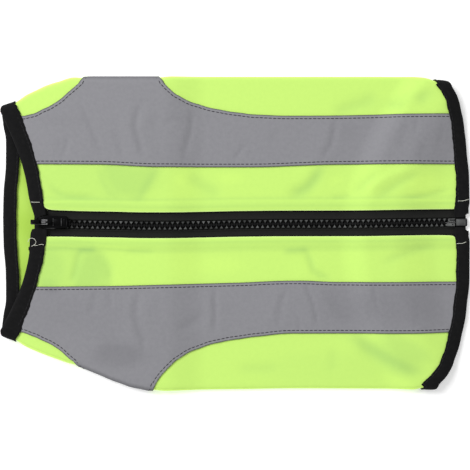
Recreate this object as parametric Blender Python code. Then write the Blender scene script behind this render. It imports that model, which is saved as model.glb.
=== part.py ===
"""Reflective dog jacket, zipped up and laid flat with its back on top.

The jacket is a tube of cloth. It is pressed flat, with the zip on the upper layer, a fold down each
side, and the belly panel with the leg holes underneath. X runs from the neck to the hem, +Y is the
wearer's right and Z is up. Sizes are in millimetres and are turned into metres by place().

A point of the cloth is named by x, along the jacket, and by c, round the tube:
0 at the zip, 1 where the right fold begins, 2 where it ends, 3 down the middle of the belly,
4 and 5 at the left fold, and 6 at the zip again. h is its height out from the middle of the wall.
"""

import math

import bmesh
import bpy
from mathutils import Matrix

MM = 0.001
LENGTH = 286.2
WIDEST_RIGHT = 90.1
WIDEST_LEFT = 101.7

# Walls, and the gap that pieces keep where they are sewn or lie on each other.
WALL = 1.0
GAP = 0.3
MERGE = 0.08
PANEL_OUT = WALL / 2
LAID_LOW = PANEL_OUT + GAP
LAID_HIGH = LAID_LOW + WALL

# Black tape folded round the neck, hem and leg holes.
BINDING = 8.3
BINDING_ROUND = 0.4
CLOTH_EDGE = WALL + GAP
PATCH_END = BINDING + GAP

# Heights of the middle of each wall. It is lifted where a binding or a patch lies under it.
LOWER_PLAIN = 0.5
LOWER_BOUND = 1.8
UPPER_PLAIN = 3.3
UPPER_BOUND = 6.0
FRONT_END = 100.0
FRONT_FADE = 25.0
HEM_BAND = 9.5
HEM_FADE = 18.5
DROOP_START = 4.0
DROOP_LENGTH = 30.0
FOLD_KEEP = 2.3
PROUD_FADE = 8.0
FLAT_BY_ZIP = 8.0
FLAT_BY_FOLD = 10.0
STEEPEST_LEAN = 1.35

# Neck and hem. The neck is scooped over the back, and the belly stops short of the hem.
NECK_CORNER = 0.3
NECK_SCOOP = {1: 18.3, -1: 19.0}
HEM_TURN = 3.0
BELLY_END = 234.0

# Leg holes in the belly panel.
LEG_ALONG = 67.7
LEG_APART = 46.0
LEG_LONG = 18.0
LEG_WIDE = 20.0
LEG_SIDES = 36
CUTTER_REACH = 4.0

# Zip, measured out from its line.
TAPE_SHOWS = {1: 8.1, -1: 7.6}
TAPE_HIDDEN = 5.6
BINDING_FROM_ZIP = 5.2
TAPE_TONGUE = 4.7
TAPE_INNER = 2.75
TAPE_LOW = -1.8
TAPE_HIGH = -0.8
TAPE_STEP = 0.3
TAPE_SHORT = 2.2
TEETH_HALF = 2.45
TEETH_LOW = -1.8
TEETH_HIGH = 0.6
TEETH_START = 36.0
TEETH_END = 270.2

# The slider sits a little to the right of the zip line, as it was pushed up.
SLIDER_ASIDE = 0.7
SLIDER_TOP_LOW = 0.9
SLIDER_TOP_HIGH = 2.1
SLIDER_UNDER_LOW = -3.1
SLIDER_UNDER_HIGH = -2.1
SLIDER_LIP_LOW = -0.4
SLIDER_LIP = (3.5, 4.1)
SLIDER_LIP_ENDS = (26.8, 36.5)
SLIDER_FUSE = 0.4
PULL_ALONG = 29.0
PULL_ABOVE = 0.85
PULL_LENGTH = 10.1
PULL_WIDTH = 3.0
PULL_THICK = 1.0
PULL_SLOT = 1.8
PULL_SLOT_END = 4.4
PULL_CORNER = 0.6
PIN_SIDES = 10
CROWN_HALF = 2.6
CROWN_POST = 0.8
CROWN_WIDTH = 1.0
CROWN_CLEAR = 1.7
CROWN_BAR = 0.8
CHEEK = 0.4
TRIM = 0.02


def table(columns, *rows):
    """A table with named columns, given a row at a time."""
    return dict(zip(columns.split(), zip(*rows)))


# One row for each section: out from the zip line to the right and left folds, how far the zip
# wanders to the right, and half the width of the belly panel.
SECTIONS = table(
    "along right left zip belly",
    (0.0, 72.1, 68.2, 0.0, 50.0),
    (7.9, 74.8, 71.2, 0.0, 53.0),
    (18.9, 80.2, 76.2, 0.0, 60.0),
    (36.0, 87.0, 82.8, 0.0, 72.0),
    (48.2, 89.7, 87.1, -0.2, 75.0),
    (60.4, 90.1, 92.0, -0.4, 75.0),
    (72.6, 90.1, 96.9, -0.6, 75.0),
    (84.8, 90.1, 100.4, -0.9, 75.0),
    (94.0, 90.1, 101.6, -0.95, 75.0),
    (121.4, 90.1, 101.1, -0.6, 74.0),
    (152.0, 90.1, 100.7, 0.0, 73.0),
    (182.4, 90.1, 100.3, 0.2, 72.0),
    (212.0, 90.1, 100.4, 0.25, 71.0),
    (243.4, 90.0, 100.6, 0.65, 70.0),
    (265.4, 88.2, 101.0, 1.0, 68.0),
    (286.2, 85.0, 100.0, 1.2, 66.0),
)

# The far side of the neck edge, by its share of the way from the middle of the belly to the fold.
NECK_UNDER = table(
    "share x",
    (0.0, 1.1),
    (0.25, 1.5),
    (0.5, 2.8),
    (0.7, 2.9),
    (0.85, 1.5),
    (1.0, NECK_CORNER),
)

# How far the hem of the back falls short of LENGTH, by its share of the way from zip to fold.
HEM_SHORT = table(
    "share right left",
    (0.0, 0.0, 0.0),
    (0.3, 0.3, 0.1),
    (0.5, 1.6, 1.6),
    (0.7, 3.3, 4.9),
    (0.85, 5.9, 9.5),
    (0.93, 8.0, 13.3),
    (1.0, 11.4, 19.3),
)

# Reflective panels: the edge next to the zip, and the outer edge before and behind the chest,
# each measured out from the zip line.
PATCH_INNER = table(
    "along right left",
    (10.0, 36.4, 38.0),
    (60.4, 36.2, 37.6),
    (97.0, 34.7, 36.8),
    (146.0, 34.7, 35.6),
    (182.4, 35.6, 34.4),
    (206.0, 36.3, 35.2),
    (286.0, 36.7, 35.0),
)
PATCH_NECK_SIDE = table(
    "along right left",
    (0.0, 65.0, 63.5),
    (11.6, 65.4, 65.1),
    (18.9, 66.5, 67.4),
    (26.2, 69.6, 70.6),
    (33.6, 73.4, 74.4),
    (42.0, 80.2, 81.6),
    (48.0, 85.3, 86.0),
)
PATCH_HEM_SIDE = table(
    "along right left",
    (97.0, 88.0, 92.6),
    (103.1, 82.1, 86.3),
    (109.2, 77.7, 81.4),
    (121.4, 72.7, 75.5),
    (133.6, 69.7, 71.9),
    (145.8, 67.8, 69.8),
    (158.0, 66.6, 68.2),
    (182.4, 66.0, 66.5),
    (243.4, 66.9, 66.4),
    (286.0, 67.3, 65.6),
)
# Where the outer edge passes round the fold, and where it meets the side seam underneath.
PATCH_ROUND = {
    1: {"front": (53.0, 56.0, 62.0), "back": (96.0, 93.0, 88.0)},
    -1: {"front": (49.5, 52.0, 57.0), "back": (93.0, 90.0, 85.0)},
}

# The largest soft folds of the upper layer: a ridge from one point to the other.
FOLDS = table(
    "from_x from_y to_x to_y width height",
    (83.6, 76.0, 88.0, 36.0, 9.0, 0.6),
    (88.0, 36.0, 98.0, 20.0, 9.0, 0.5),
    (115.3, 74.0, 112.0, 34.0, 9.0, 0.5),
    (204.0, 64.0, 188.0, 20.0, 10.0, 0.7),
    (184.0, -20.0, 193.0, -62.0, 10.0, 0.7),
    (208.0, -68.0, 252.0, -90.0, 11.0, 0.7),
    (167.0, -66.0, 176.0, -38.0, 9.0, 0.5),
    (226.0, 20.0, 262.0, 36.0, 10.0, 0.5),
    (86.0, -86.0, 92.0, -40.0, 10.0, 0.6),
    (128.0, -74.0, 131.0, -42.0, 9.0, 0.5),
)

# Slider, seen from above: half widths of its two plates, and of the wedge that parts the teeth.
SLIDER_PLATE = table(
    "along half",
    (23.8, 2.6),
    (25.4, 3.7),
    (28.8, 4.6),
    (32.8, 4.2),
    (40.5, 3.7),
    (41.5, 3.0),
)
SLIDER_WEDGE = table(
    "along half",
    (24.2, 1.7),
    (26.8, 1.7),
    (30.8, 0.6),
)
UNDER_PLATE_INSET = 0.4

# Moulded ends of the zip at the hem.
ZIP_ENDS = table(
    "name start end middle half low high",
    ("zip_box", 277.4, 284.6, 0.0, 2.45, -1.7, 1.2),
    ("zip_stop_right", 273.0, 276.9, 1.3, 1.05, -1.3, 1.0),
    ("zip_stop_left", 271.3, 276.9, -1.3, 1.05, -1.3, 1.0),
)

# Lines across and round the cloth where its walls may bend.
BEND_PARTS = 6
TOP_ROWS = (0.12, 0.23, 0.34, 0.45, 0.56, 0.67, 0.78, 0.88, 0.95)
UNDER_ROWS = (2.1, 2.3, 2.55, 2.8)
COLUMN_STEP = 8.0
NEXT_ROW = 0.004
NEXT_COLUMN = 0.5
LEAN_STEP = 0.04

# Where the search for a long edge's end begins, and how many times it is drawn closer.
NECK_GUESS = 15.0
HEM_GUESS = 265.0
SEARCH_ROUNDS = 8


def rows_round():
    bend = [1 + k / BEND_PARTS for k in range(BEND_PARTS + 1)]
    right = [*TOP_ROWS, *bend, *UNDER_ROWS]
    return [*right, 3.0, *[6 - c for c in reversed(right)]]


def columns_along():
    return [COLUMN_STEP * k for k in range(1, math.ceil(LENGTH / COLUMN_STEP))]


ROWS = rows_round()
COLUMNS = columns_along()


def smooth(t):
    t = min(max(t, 0.0), 1.0)
    return t * t * (3 - 2 * t)


def within(at, low, high, fade):
    return smooth((at - low + fade) / fade) * smooth((high + fade - at) / fade)


def slope(xs, ys, i):
    """The slope of a curve through the points at the i-th one, level at a peak."""
    steps = [
        (ys[k + 1] - ys[k]) / (xs[k + 1] - xs[k])
        for k in (i - 1, i)
        if 0 <= k < len(xs) - 1
    ]
    if len(steps) == 1:
        return steps[0]
    if steps[0] * steps[1] <= 0:
        return 0.0
    return 2 * steps[0] * steps[1] / (steps[0] + steps[1])


def read(rows, column, at, key="along"):
    """A smooth curve through one column of a table."""
    xs = rows[key]
    ys = rows[column]
    at = min(max(at, xs[0]), xs[-1])
    i = max(k for k in range(len(xs) - 1) if xs[k] <= at)
    run = xs[i + 1] - xs[i]
    t = (at - xs[i]) / run
    start = ys[i] + t * run * slope(xs, ys, i)
    end = ys[i + 1] - (1 - t) * run * slope(xs, ys, i + 1)
    blend = t * t * (3 - 2 * t)
    return start + (end - start) * blend


def side_name(side):
    return "right" if side > 0 else "left"


def zip_line(x):
    return read(SECTIONS, "zip", x)


def hem_fold(side):
    return LENGTH - HEM_SHORT[side_name(side)][-1]


def proud(x, side):
    """How far binding or patch stands out past the cloth at the fold, which the outline holds."""
    front = PATCH_ROUND[side]["front"][0]
    back = PATCH_ROUND[side]["back"][0]
    neck = within(x, 0, PATCH_END, PROUD_FADE)
    chest = within(x, front, back, PROUD_FADE)
    hem = smooth((x - hem_fold(side) + PATCH_END + PROUD_FADE) / PROUD_FADE)
    return (LAID_HIGH - PANEL_OUT) * max(neck, chest, hem)


def fold_line(x, side):
    """Y of the middle of the wall where it turns under."""
    return side * (read(SECTIONS, side_name(side), x) - PANEL_OUT - proud(x, side))


def belly_line(x):
    return fold_line(x, 1) + fold_line(x, -1) - zip_line(x)


def belly_hem(x, y):
    """X of the hem underneath, at the point of the belly below y."""
    side = 1 if y >= belly_line(x) else -1
    middle = belly_line(x)
    share = min(1.0, abs(y - middle) / abs(fold_line(x, side) - middle))
    return BELLY_END + (hem_fold(side) - HEM_TURN - BELLY_END) * share**2


def bound(x, y):
    """1 where bindings, patches or leg holes lie between the layers and the table, 0 where none do."""
    front = 1 - smooth((x - FRONT_END) / FRONT_FADE)
    hem = 1 - smooth((belly_hem(x, y) - x - HEM_BAND) / HEM_FADE)
    return max(front, hem)


def kept(x, y):
    """y, held just inside the folds."""
    low = fold_line(x, -1) + FOLD_KEEP
    high = fold_line(x, 1) - FOLD_KEEP
    return min(max(y, low), high)


def lower_height(x, y):
    y = kept(x, y)
    return LOWER_PLAIN + (LOWER_BOUND - LOWER_PLAIN) * bound(x, y)


def ridge(x, y, k):
    """Height of the k-th soft fold."""
    fold = {name: values[k] for name, values in FOLDS.items()}
    run = (fold["to_x"] - fold["from_x"], fold["to_y"] - fold["from_y"])
    along = ((x - fold["from_x"]) * run[0] + (y - fold["from_y"]) * run[1]) / (run[0] ** 2 + run[1] ** 2)
    nearest = min(max(along, 0.0), 1.0)
    off = math.hypot(x - fold["from_x"] - nearest * run[0], y - fold["from_y"] - nearest * run[1])
    return fold["height"] * math.exp(-((off / fold["width"]) ** 2))


def upper_height(x, y):
    y = kept(x, y)
    laid = UPPER_PLAIN + (UPPER_BOUND - UPPER_PLAIN) * bound(x, y)
    droop = smooth((x - belly_hem(x, y) - DROOP_START) / DROOP_LENGTH)
    soft = sum(ridge(x, y, k) for k in range(len(FOLDS["width"])))
    from_zip = smooth((abs(y - zip_line(x)) - TAPE_SHOWS[1]) / FLAT_BY_ZIP)
    side = 1 if y >= 0 else -1
    from_fold = smooth((abs(fold_line(x, side) - y) - FOLD_KEEP) / FLAT_BY_FOLD)
    return laid + (LOWER_BOUND - laid) * droop + soft * from_zip * from_fold


def half(c):
    """The side of the jacket that c is on, and c counted from the zip on that side."""
    return (1, c) if c <= 3 else (-1, 6 - c)


def bend(x, side):
    """Where the fold begins, its radius, and the height of the wall below it."""
    edge = fold_line(x, side)
    low = lower_height(x, edge)
    radius = (upper_height(x, edge) - low) / 2
    return edge - side * radius, radius, low


def lay(x, c, h):
    """The point (x, c, h) of the laid jacket."""
    side, share = half(c)
    start, radius, low = bend(x, side)
    if share <= 1:
        y = zip_line(x) + (start - zip_line(x)) * share
        return x, y, upper_height(x, y) + h
    if share < 2:
        angle = (1.5 - share) * math.pi
        y = start + side * (radius + h) * math.cos(angle)
        return x, y, low + radius + (radius + h) * math.sin(angle)
    y = start + (belly_line(x) - start) * (share - 2)
    return x, y, lower_height(x, y) - h


def on_top(x, w, h):
    """A point w to the right of the zip, on the upper layer."""
    y = zip_line(x) + w
    return x, y, upper_height(x, y) + h


def c_on_top(x, out, side):
    """c of a point of the upper layer that lies that far out from the zip line's mean."""
    start = bend(x, side)[0]
    share = (side * out - zip_line(x)) / (start - zip_line(x))
    return share if side > 0 else 6 - share


def c_beside_zip(x, out, side):
    return c_on_top(x, out + side * zip_line(x), side)


def c_under(x, y):
    """c of a point of the lower layer."""
    side = 1 if y >= belly_line(x) else -1
    start = bend(x, side)[0]
    share = 2 + (y - start) / (belly_line(x) - start)
    return share if side > 0 else 6 - share


def c_seam(x, side, past):
    """c of the side seam, or of a line that lies past it on the back panel's side."""
    return c_under(x, belly_line(x) + side * (read(SECTIONS, "belly", x) + past))


def neck_edge(c):
    """X of the neck edge, all round."""
    side, share = half(c)
    if share <= 1:
        return NECK_CORNER + NECK_SCOOP[side] * math.cos(math.pi / 2 * share)
    if share < 2:
        return NECK_CORNER
    return read(NECK_UNDER, "x", 3 - share, key="share")


def hem_edge(c):
    """X of the hem, all round."""
    side, share = half(c)
    if share <= 1:
        return LENGTH - read(HEM_SHORT, side_name(side), share, key="share")
    turned = hem_fold(side) - HEM_TURN
    if share < 2:
        return hem_fold(side) - HEM_TURN * (share - 1)
    return BELLY_END + (turned - BELLY_END) * (3 - share) ** 2


def lean(edge, c):
    """How much longer a step in from the edge is along X than straight in from the edge."""
    low = max(c - LEAN_STEP, 0.0)
    high = min(c + LEAN_STEP, 6.0)
    x = edge(c)
    gone = math.dist(lay(x, low, 0)[1:], lay(x, high, 0)[1:])
    return min(math.hypot(1, (edge(high) - edge(low)) / gone), STEEPEST_LEAN)


def neck_in(c, inset):
    return neck_edge(c) + inset * lean(neck_edge, c)


def hem_in(c, inset):
    return hem_edge(c) - inset * lean(hem_edge, c)


def place(point):
    x, y, z = point
    return ((x - LENGTH / 2) * MM, (y - (WIDEST_RIGHT - WIDEST_LEFT) / 2) * MM, z * MM)


def finish(name, colour, roughness, metallic=0.0):
    material = bpy.data.materials.new(name)
    material.use_nodes = True
    shader = material.node_tree.nodes["Principled BSDF"]
    shader.inputs["Base Color"].default_value = (*colour, 1.0)
    shader.inputs["Roughness"].default_value = roughness
    shader.inputs["Metallic"].default_value = metallic
    material.diffuse_color = (*colour, 1.0)
    return material


def piece(name, bm, material, crease=35):
    """Turn a mesh in millimetres into a named object in metres."""
    for vert in bm.verts:
        vert.co = place(vert.co)
    bmesh.ops.remove_doubles(bm, verts=bm.verts[:], dist=MERGE * MM)
    bmesh.ops.triangulate(bm, faces=bm.faces[:])
    mesh = bpy.data.meshes.new(name)
    bm.to_mesh(mesh)
    bm.free()
    mesh.shade_smooth()
    mesh.set_sharp_from_angle(angle=math.radians(crease))
    mesh.materials.append(material)
    obj = bpy.data.objects.new(name, mesh)
    bpy.context.scene.collection.objects.link(obj)
    return obj


def crease_flat(bm, at, across):
    everything = bm.verts[:] + bm.edges[:] + bm.faces[:]
    bmesh.ops.bisect_plane(bm, geom=everything, dist=1e-5, plane_co=at, plane_no=across)


def cloth(name, outline, low, high, material):
    """Cut a flat piece to its outline in x and c, give it a wall, and lay it on the jacket."""
    bm = bmesh.new()
    bm.faces.new([bm.verts.new((x, c, low)) for x, c in outline])
    xs = [x for x, c in outline]
    cs = [c for x, c in outline]
    for x in COLUMNS:
        if min(xs) < x < max(xs):
            crease_flat(bm, (x, 0, 0), (1, 0, 0))
    for c in ROWS:
        if min(cs) < c < max(cs):
            crease_flat(bm, (0, c, 0), (0, 1, 0))
    raised = bmesh.ops.extrude_face_region(bm, geom=bm.faces[:])["geom"]
    for vert in raised:
        if isinstance(vert, bmesh.types.BMVert):
            vert.co.z = high
    bmesh.ops.recalc_face_normals(bm, faces=bm.faces[:])
    for vert in bm.verts:
        vert.co = lay(*vert.co)
    return piece(name, bm, material)


def sweep(name, rings, material, closed=False):
    """A solid through rings of points, each ring a closed section."""
    bm = bmesh.new()
    loops = [[bm.verts.new(point) for point in ring] for ring in rings]
    count = len(loops[0])
    pairs = list(zip(loops, loops[1:]))
    if closed:
        pairs.append((loops[-1], loops[0]))
    for first, second in pairs:
        for k in range(count):
            after = (k + 1) % count
            bm.faces.new((first[k], first[after], second[after], second[k]))
    if not closed:
        bm.faces.new(loops[0])
        bm.faces.new(loops[-1])
    bmesh.ops.recalc_face_normals(bm, faces=bm.faces[:])
    return piece(name, bm, material)


def folded_tape():
    """Section of the binding: inset from the edge, and height, round a wall."""
    cheek = BINDING_ROUND
    return [
        (0, -LAID_HIGH + cheek),
        (cheek, -LAID_HIGH),
        (BINDING, -LAID_HIGH),
        (BINDING, -LAID_LOW),
        (WALL, -LAID_LOW),
        (WALL, LAID_LOW),
        (BINDING, LAID_LOW),
        (BINDING, LAID_HIGH),
        (cheek, LAID_HIGH),
        (0, LAID_HIGH - cheek),
    ]


def round_the_tube(edge_in):
    """The rows from one side of the zip round to the other."""
    first = c_beside_zip(edge_in(0.0, 0.0), BINDING_FROM_ZIP, 1)
    last = c_beside_zip(edge_in(6.0, 0.0), BINDING_FROM_ZIP, -1)
    return [first, *[c for c in ROWS if first < c < last], last]


def binding(name, edge_in, material):
    rings = [
        [lay(edge_in(c, inset), c, h) for inset, h in folded_tape()]
        for c in round_the_tube(edge_in)
    ]
    return sweep(name, rings, material)


def end_points(edge_in, inset, from_c, to_c):
    """Points along the neck or hem, at every row between two values of c."""
    low = min(from_c, to_c)
    high = max(from_c, to_c)
    cs = [low, *[c for c in ROWS if low + NEXT_ROW < c < high - NEXT_ROW], high]
    if from_c > to_c:
        cs.reverse()
    return [(edge_in(c, inset), c) for c in cs]


def long_points(line, start, end):
    """Points (x, c) along a line that runs the length of the jacket, at every column."""
    low = min(start, end)
    high = max(start, end)
    xs = [low, *[x for x in COLUMNS if low + NEXT_COLUMN < x < high - NEXT_COLUMN], high]
    if start > end:
        xs.reverse()
    return [(x, line(x)) for x in xs]


def meets(line, edge_in, inset):
    """X where a line along the jacket meets the neck or the hem."""
    x = NECK_GUESS if edge_in is neck_in else HEM_GUESS
    for _ in range(SEARCH_ROUNDS):
        x = edge_in(line(x), inset)
    return x


def outline_between(first, second, inset):
    """The outline of a piece between two long lines, from neck to hem."""
    ends = {}
    for name, line in (("first", first), ("second", second)):
        ends[name] = (
            meets(line, neck_in, inset),
            meets(line, hem_in, inset),
        )
    neck = end_points(neck_in, inset, second(ends["second"][0]), first(ends["first"][0]))
    hem = end_points(hem_in, inset, first(ends["first"][1]), second(ends["second"][1]))
    going = long_points(first, *ends["first"])
    coming = long_points(second, *reversed(ends["second"]))
    return neck[:-1] + going[:-1] + hem[:-1] + coming[:-1]


def back_panel(side, material):
    def zip_side(x):
        return c_beside_zip(x, TAPE_SHOWS[side], side)

    def seam_side(x):
        return c_seam(x, side, GAP / 2)

    outline = outline_between(zip_side, seam_side, CLOTH_EDGE)
    return cloth(f"back_{side_name(side)}_panel", outline, -PANEL_OUT, PANEL_OUT, material)


def belly_panel(material):
    outline = outline_between(
        lambda x: c_seam(x, 1, -GAP / 2),
        lambda x: c_seam(x, -1, -GAP / 2),
        CLOTH_EDGE,
    )
    panel = cloth("belly_panel", outline, -PANEL_OUT, PANEL_OUT, material)
    for side in (1, -1):
        cut = panel.modifiers.new(f"leg_hole_{side_name(side)}", "BOOLEAN")
        cut.operation = "DIFFERENCE"
        cut.solver = "EXACT"
        cut.object = leg_cutter(side)
    return panel


def leg_ring(side, inset, h):
    """Points round a leg hole, that far out from its edge."""
    points = []
    for k in range(LEG_SIDES):
        turn = 2 * math.pi * k / LEG_SIDES
        x = LEG_ALONG + (LEG_LONG + inset) * math.cos(turn)
        middle = belly_line(x) + side * LEG_APART
        points.append((x, middle + (LEG_WIDE + inset) * math.sin(turn), LOWER_BOUND - h))
    return points


def leg_cutter(side):
    rings = [leg_ring(side, CLOTH_EDGE, h) for h in (-CUTTER_REACH, CUTTER_REACH)]
    cutter = sweep(f"leg_cutter_{side_name(side)}", rings, bpy.data.materials["neon_cloth"])
    cutter.hide_render = True
    cutter.display_type = "WIRE"
    return cutter


def leg_binding(side, material):
    corners = [leg_ring(side, inset, h) for inset, h in folded_tape()]
    rings = [list(ring) for ring in zip(*corners)]
    return sweep(f"leg_binding_{side_name(side)}", rings, material, closed=True)


def reflective(side, material):
    name = side_name(side)

    def inner(x):
        return c_on_top(x, read(PATCH_INNER, name, x), side)

    def neck_outer(x):
        return c_on_top(x, read(PATCH_NECK_SIDE, name, x), side)

    def hem_outer(x):
        return c_on_top(x, read(PATCH_HEM_SIDE, name, x), side)

    def round_fold(turns):
        begins, ends, sewn = turns
        share = 1 if side > 0 else 5
        under = 2 if side > 0 else 4
        return [(begins, share), (ends, under), (sewn, c_seam(sewn, side, GAP / 2))]

    front = round_fold(PATCH_ROUND[side]["front"])
    back = round_fold(PATCH_ROUND[side]["back"])
    sewn = [x for x in reversed(COLUMNS) if front[2][0] + WALL < x < back[2][0] - WALL]
    seam = [(x, c_seam(x, side, GAP / 2)) for x in sewn]
    neck_start = meets(neck_outer, neck_in, PATCH_END)
    inner_start = meets(inner, neck_in, PATCH_END)
    inner_end = meets(inner, hem_in, PATCH_END)
    hem_end = meets(hem_outer, hem_in, PATCH_END)
    outline = [
        *end_points(neck_in, PATCH_END, neck_outer(neck_start), inner(inner_start))[:-1],
        *long_points(inner, inner_start, inner_end)[:-1],
        *end_points(hem_in, PATCH_END, inner(inner_end), hem_outer(hem_end))[:-1],
        *long_points(hem_outer, hem_end, PATCH_HEM_SIDE["along"][0]),
        *back,
        *seam,
        *reversed(front),
        *long_points(neck_outer, PATCH_NECK_SIDE["along"][-1], neck_start)[:-1],
    ]
    return cloth(f"reflective_{name}", outline, LAID_LOW, LAID_HIGH, material)


def zip_tape(side, material):
    neck = neck_edge(0.0 if side > 0 else 6.0)
    wide = TAPE_SHOWS[side] + TAPE_HIDDEN
    bound_neck = neck + BINDING + GAP
    bound_hem = LENGTH - BINDING - GAP
    stations = [(neck + WALL, TAPE_TONGUE), (bound_neck, TAPE_TONGUE), (bound_neck + TAPE_STEP, wide)]
    stations += [(x, wide) for x in COLUMNS if bound_neck + WALL < x < bound_hem - WALL]
    stations += [(bound_hem - TAPE_STEP, wide), (bound_hem, TAPE_TONGUE), (LENGTH - TAPE_SHORT, TAPE_TONGUE)]
    rings = [
        [
            on_top(x, side * TAPE_INNER, TAPE_LOW),
            on_top(x, side * out, TAPE_LOW),
            on_top(x, side * out, TAPE_HIGH),
            on_top(x, side * TAPE_INNER, TAPE_HIGH),
        ]
        for x, out in stations
    ]
    return sweep(f"zip_tape_{side_name(side)}", rings, material)


def bar(name, xs, half_width, low, high, material, middle=0.0):
    """A bar along the zip line with its long edges cut off."""
    section = [
        (-half_width, low + CHEEK),
        (-half_width + CHEEK, low),
        (half_width - CHEEK, low),
        (half_width, low + CHEEK),
        (half_width, high - CHEEK),
        (half_width - CHEEK, high),
        (-half_width + CHEEK, high),
        (-half_width, high - CHEEK),
    ]
    rings = [[on_top(x, middle + w, h) for w, h in section] for x in xs]
    return sweep(name, rings, material)


def zip_end(k, material):
    row = {column: values[k] for column, values in ZIP_ENDS.items()}
    xs = (row["start"], (row["start"] + row["end"]) / 2, row["end"])
    return bar(row["name"], xs, row["half"], row["low"], row["high"], material, middle=row["middle"])


def zip_teeth(material):
    between = [x for x in COLUMNS if TEETH_START + WALL < x < TEETH_END - WALL]
    xs = [TEETH_START, *between, TEETH_END]
    return bar("zip_teeth", xs, TEETH_HALF, TEETH_LOW, TEETH_HIGH, material)


def plate(bm, outline, low, high):
    """An upright prism in the slider's own axes."""
    face = bm.faces.new([bm.verts.new((x, y, low)) for x, y in outline])
    raised = bmesh.ops.extrude_face_region(bm, geom=[face])["geom"]
    for vert in raised:
        if isinstance(vert, bmesh.types.BMVert):
            vert.co.z = high
    bmesh.ops.recalc_face_normals(bm, faces=bm.faces[:])


def box(bm, low, high):
    corners = [(low[0], low[1]), (high[0], low[1]), (high[0], high[1]), (low[0], high[1])]
    plate(bm, corners, low[2], high[2])


def hard_part(name, shapes, material):
    """Join overlapping prisms, drawn beside the zip line, into one moulded body."""
    parts = []
    for number, shape in enumerate(shapes):
        bm = bmesh.new()
        shape(bm)
        base = on_top(PULL_ALONG, SLIDER_ASIDE, 0)
        for vert in bm.verts:
            vert.co.y += base[1]
            vert.co.z += base[2]
        parts.append(piece(f"{name}_{number}", bm, material, crease=30))
    body = parts[0]
    body.name = name
    for other in parts[1:]:
        join = body.modifiers.new(other.name, "BOOLEAN")
        join.operation = "UNION"
        join.solver = "EXACT"
        join.object = other
        other.hide_render = True
        other.display_type = "WIRE"
    return body


def both_sides(rows, inset=0.0):
    """An outline from its half widths along the zip."""
    right = [(x, half - inset) for x, half in zip(rows["along"], rows["half"])]
    return right + [(x, -y) for x, y in reversed(right)]


def zip_slider(material):
    crown_foot = SLIDER_TOP_HIGH - SLIDER_FUSE
    bar_low = SLIDER_TOP_HIGH + CROWN_CLEAR
    bar_high = bar_low + CROWN_BAR

    def upper(bm):
        plate(bm, both_sides(SLIDER_PLATE), SLIDER_TOP_LOW, SLIDER_TOP_HIGH)

    def under(bm):
        plate(bm, both_sides(SLIDER_PLATE, UNDER_PLATE_INSET), SLIDER_UNDER_LOW, SLIDER_UNDER_HIGH)

    def wedge(bm):
        plate(bm, both_sides(SLIDER_WEDGE), SLIDER_UNDER_LOW + SLIDER_FUSE, SLIDER_TOP_LOW + SLIDER_FUSE)

    def lip(side):
        def shape(bm):
            edge = sorted(side * out for out in SLIDER_LIP)
            low = (SLIDER_LIP_ENDS[0], edge[0], SLIDER_LIP_LOW)
            box(bm, low, (SLIDER_LIP_ENDS[1], edge[1], SLIDER_TOP_LOW + SLIDER_FUSE))

        return shape

    def crown_post(start):
        def shape(bm):
            low = (start, -CROWN_WIDTH / 2, crown_foot)
            box(bm, low, (start + CROWN_POST, CROWN_WIDTH / 2, bar_high - TRIM))

        return shape

    def crown_bar(bm):
        reach = CROWN_HALF + CROWN_POST - SLIDER_FUSE
        across = CROWN_WIDTH / 2 - TRIM
        box(bm, (PULL_ALONG - reach, -across, bar_low), (PULL_ALONG + reach, across, bar_high))

    front = crown_post(PULL_ALONG - CROWN_HALF - CROWN_POST)
    back = crown_post(PULL_ALONG + CROWN_HALF)
    shapes = [upper, under, wedge, lip(1), lip(-1), front, back, crown_bar]
    return hard_part("zip_slider", shapes, material)


def zip_pull(material):
    middle = SLIDER_TOP_HIGH + PULL_ABOVE
    low = middle - PULL_THICK / 2
    high = middle + PULL_THICK / 2
    half_pull = PULL_WIDTH / 2
    tip = PULL_ALONG - PULL_LENGTH
    root = PULL_ALONG - PULL_SLOT_END

    def tab(bm):
        right = [(tip, half_pull - PULL_CORNER), (tip + PULL_CORNER, half_pull), (root, half_pull)]
        plate(bm, right + [(x, -y) for x, y in reversed(right)], low, high)

    def arm(side):
        def shape(bm):
            edge = sorted((side * PULL_SLOT / 2, side * (half_pull - TRIM)))
            start = (root - SLIDER_FUSE, edge[0], low + TRIM)
            box(bm, start, (PULL_ALONG, edge[1], high - TRIM))

        return shape

    def pin(bm):
        turn = Matrix.Rotation(math.pi / 2, 4, "X")
        seat = Matrix.Translation((PULL_ALONG, 0, middle)) @ turn
        bmesh.ops.create_cone(
            bm,
            cap_ends=True,
            segments=PIN_SIDES,
            radius1=PULL_THICK / 2,
            radius2=PULL_THICK / 2,
            depth=PULL_WIDTH,
            matrix=seat,
        )

    return hard_part("zip_pull", [tab, arm(1), arm(-1), pin], material)


def jacket():
    neon = finish("neon_cloth", (0.58, 0.87, 0.18), 0.75)
    grey = finish("reflective_cloth", (0.28, 0.28, 0.30), 0.55)
    tape = finish("black_tape", (0.010, 0.010, 0.011), 0.8)
    plastic = finish("black_plastic", (0.014, 0.014, 0.015), 0.35)
    for side in (1, -1):
        back_panel(side, neon)
        reflective(side, grey)
        zip_tape(side, tape)
        leg_binding(side, tape)
    belly_panel(neon)
    binding("neck_binding", neck_in, tape)
    binding("hem_binding", hem_in, tape)
    zip_teeth(plastic)
    zip_slider(plastic)
    zip_pull(plastic)
    for k in range(len(ZIP_ENDS["name"])):
        zip_end(k, plastic)


for leftover in list(bpy.data.objects):
    bpy.data.objects.remove(leftover)
jacket()
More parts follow.
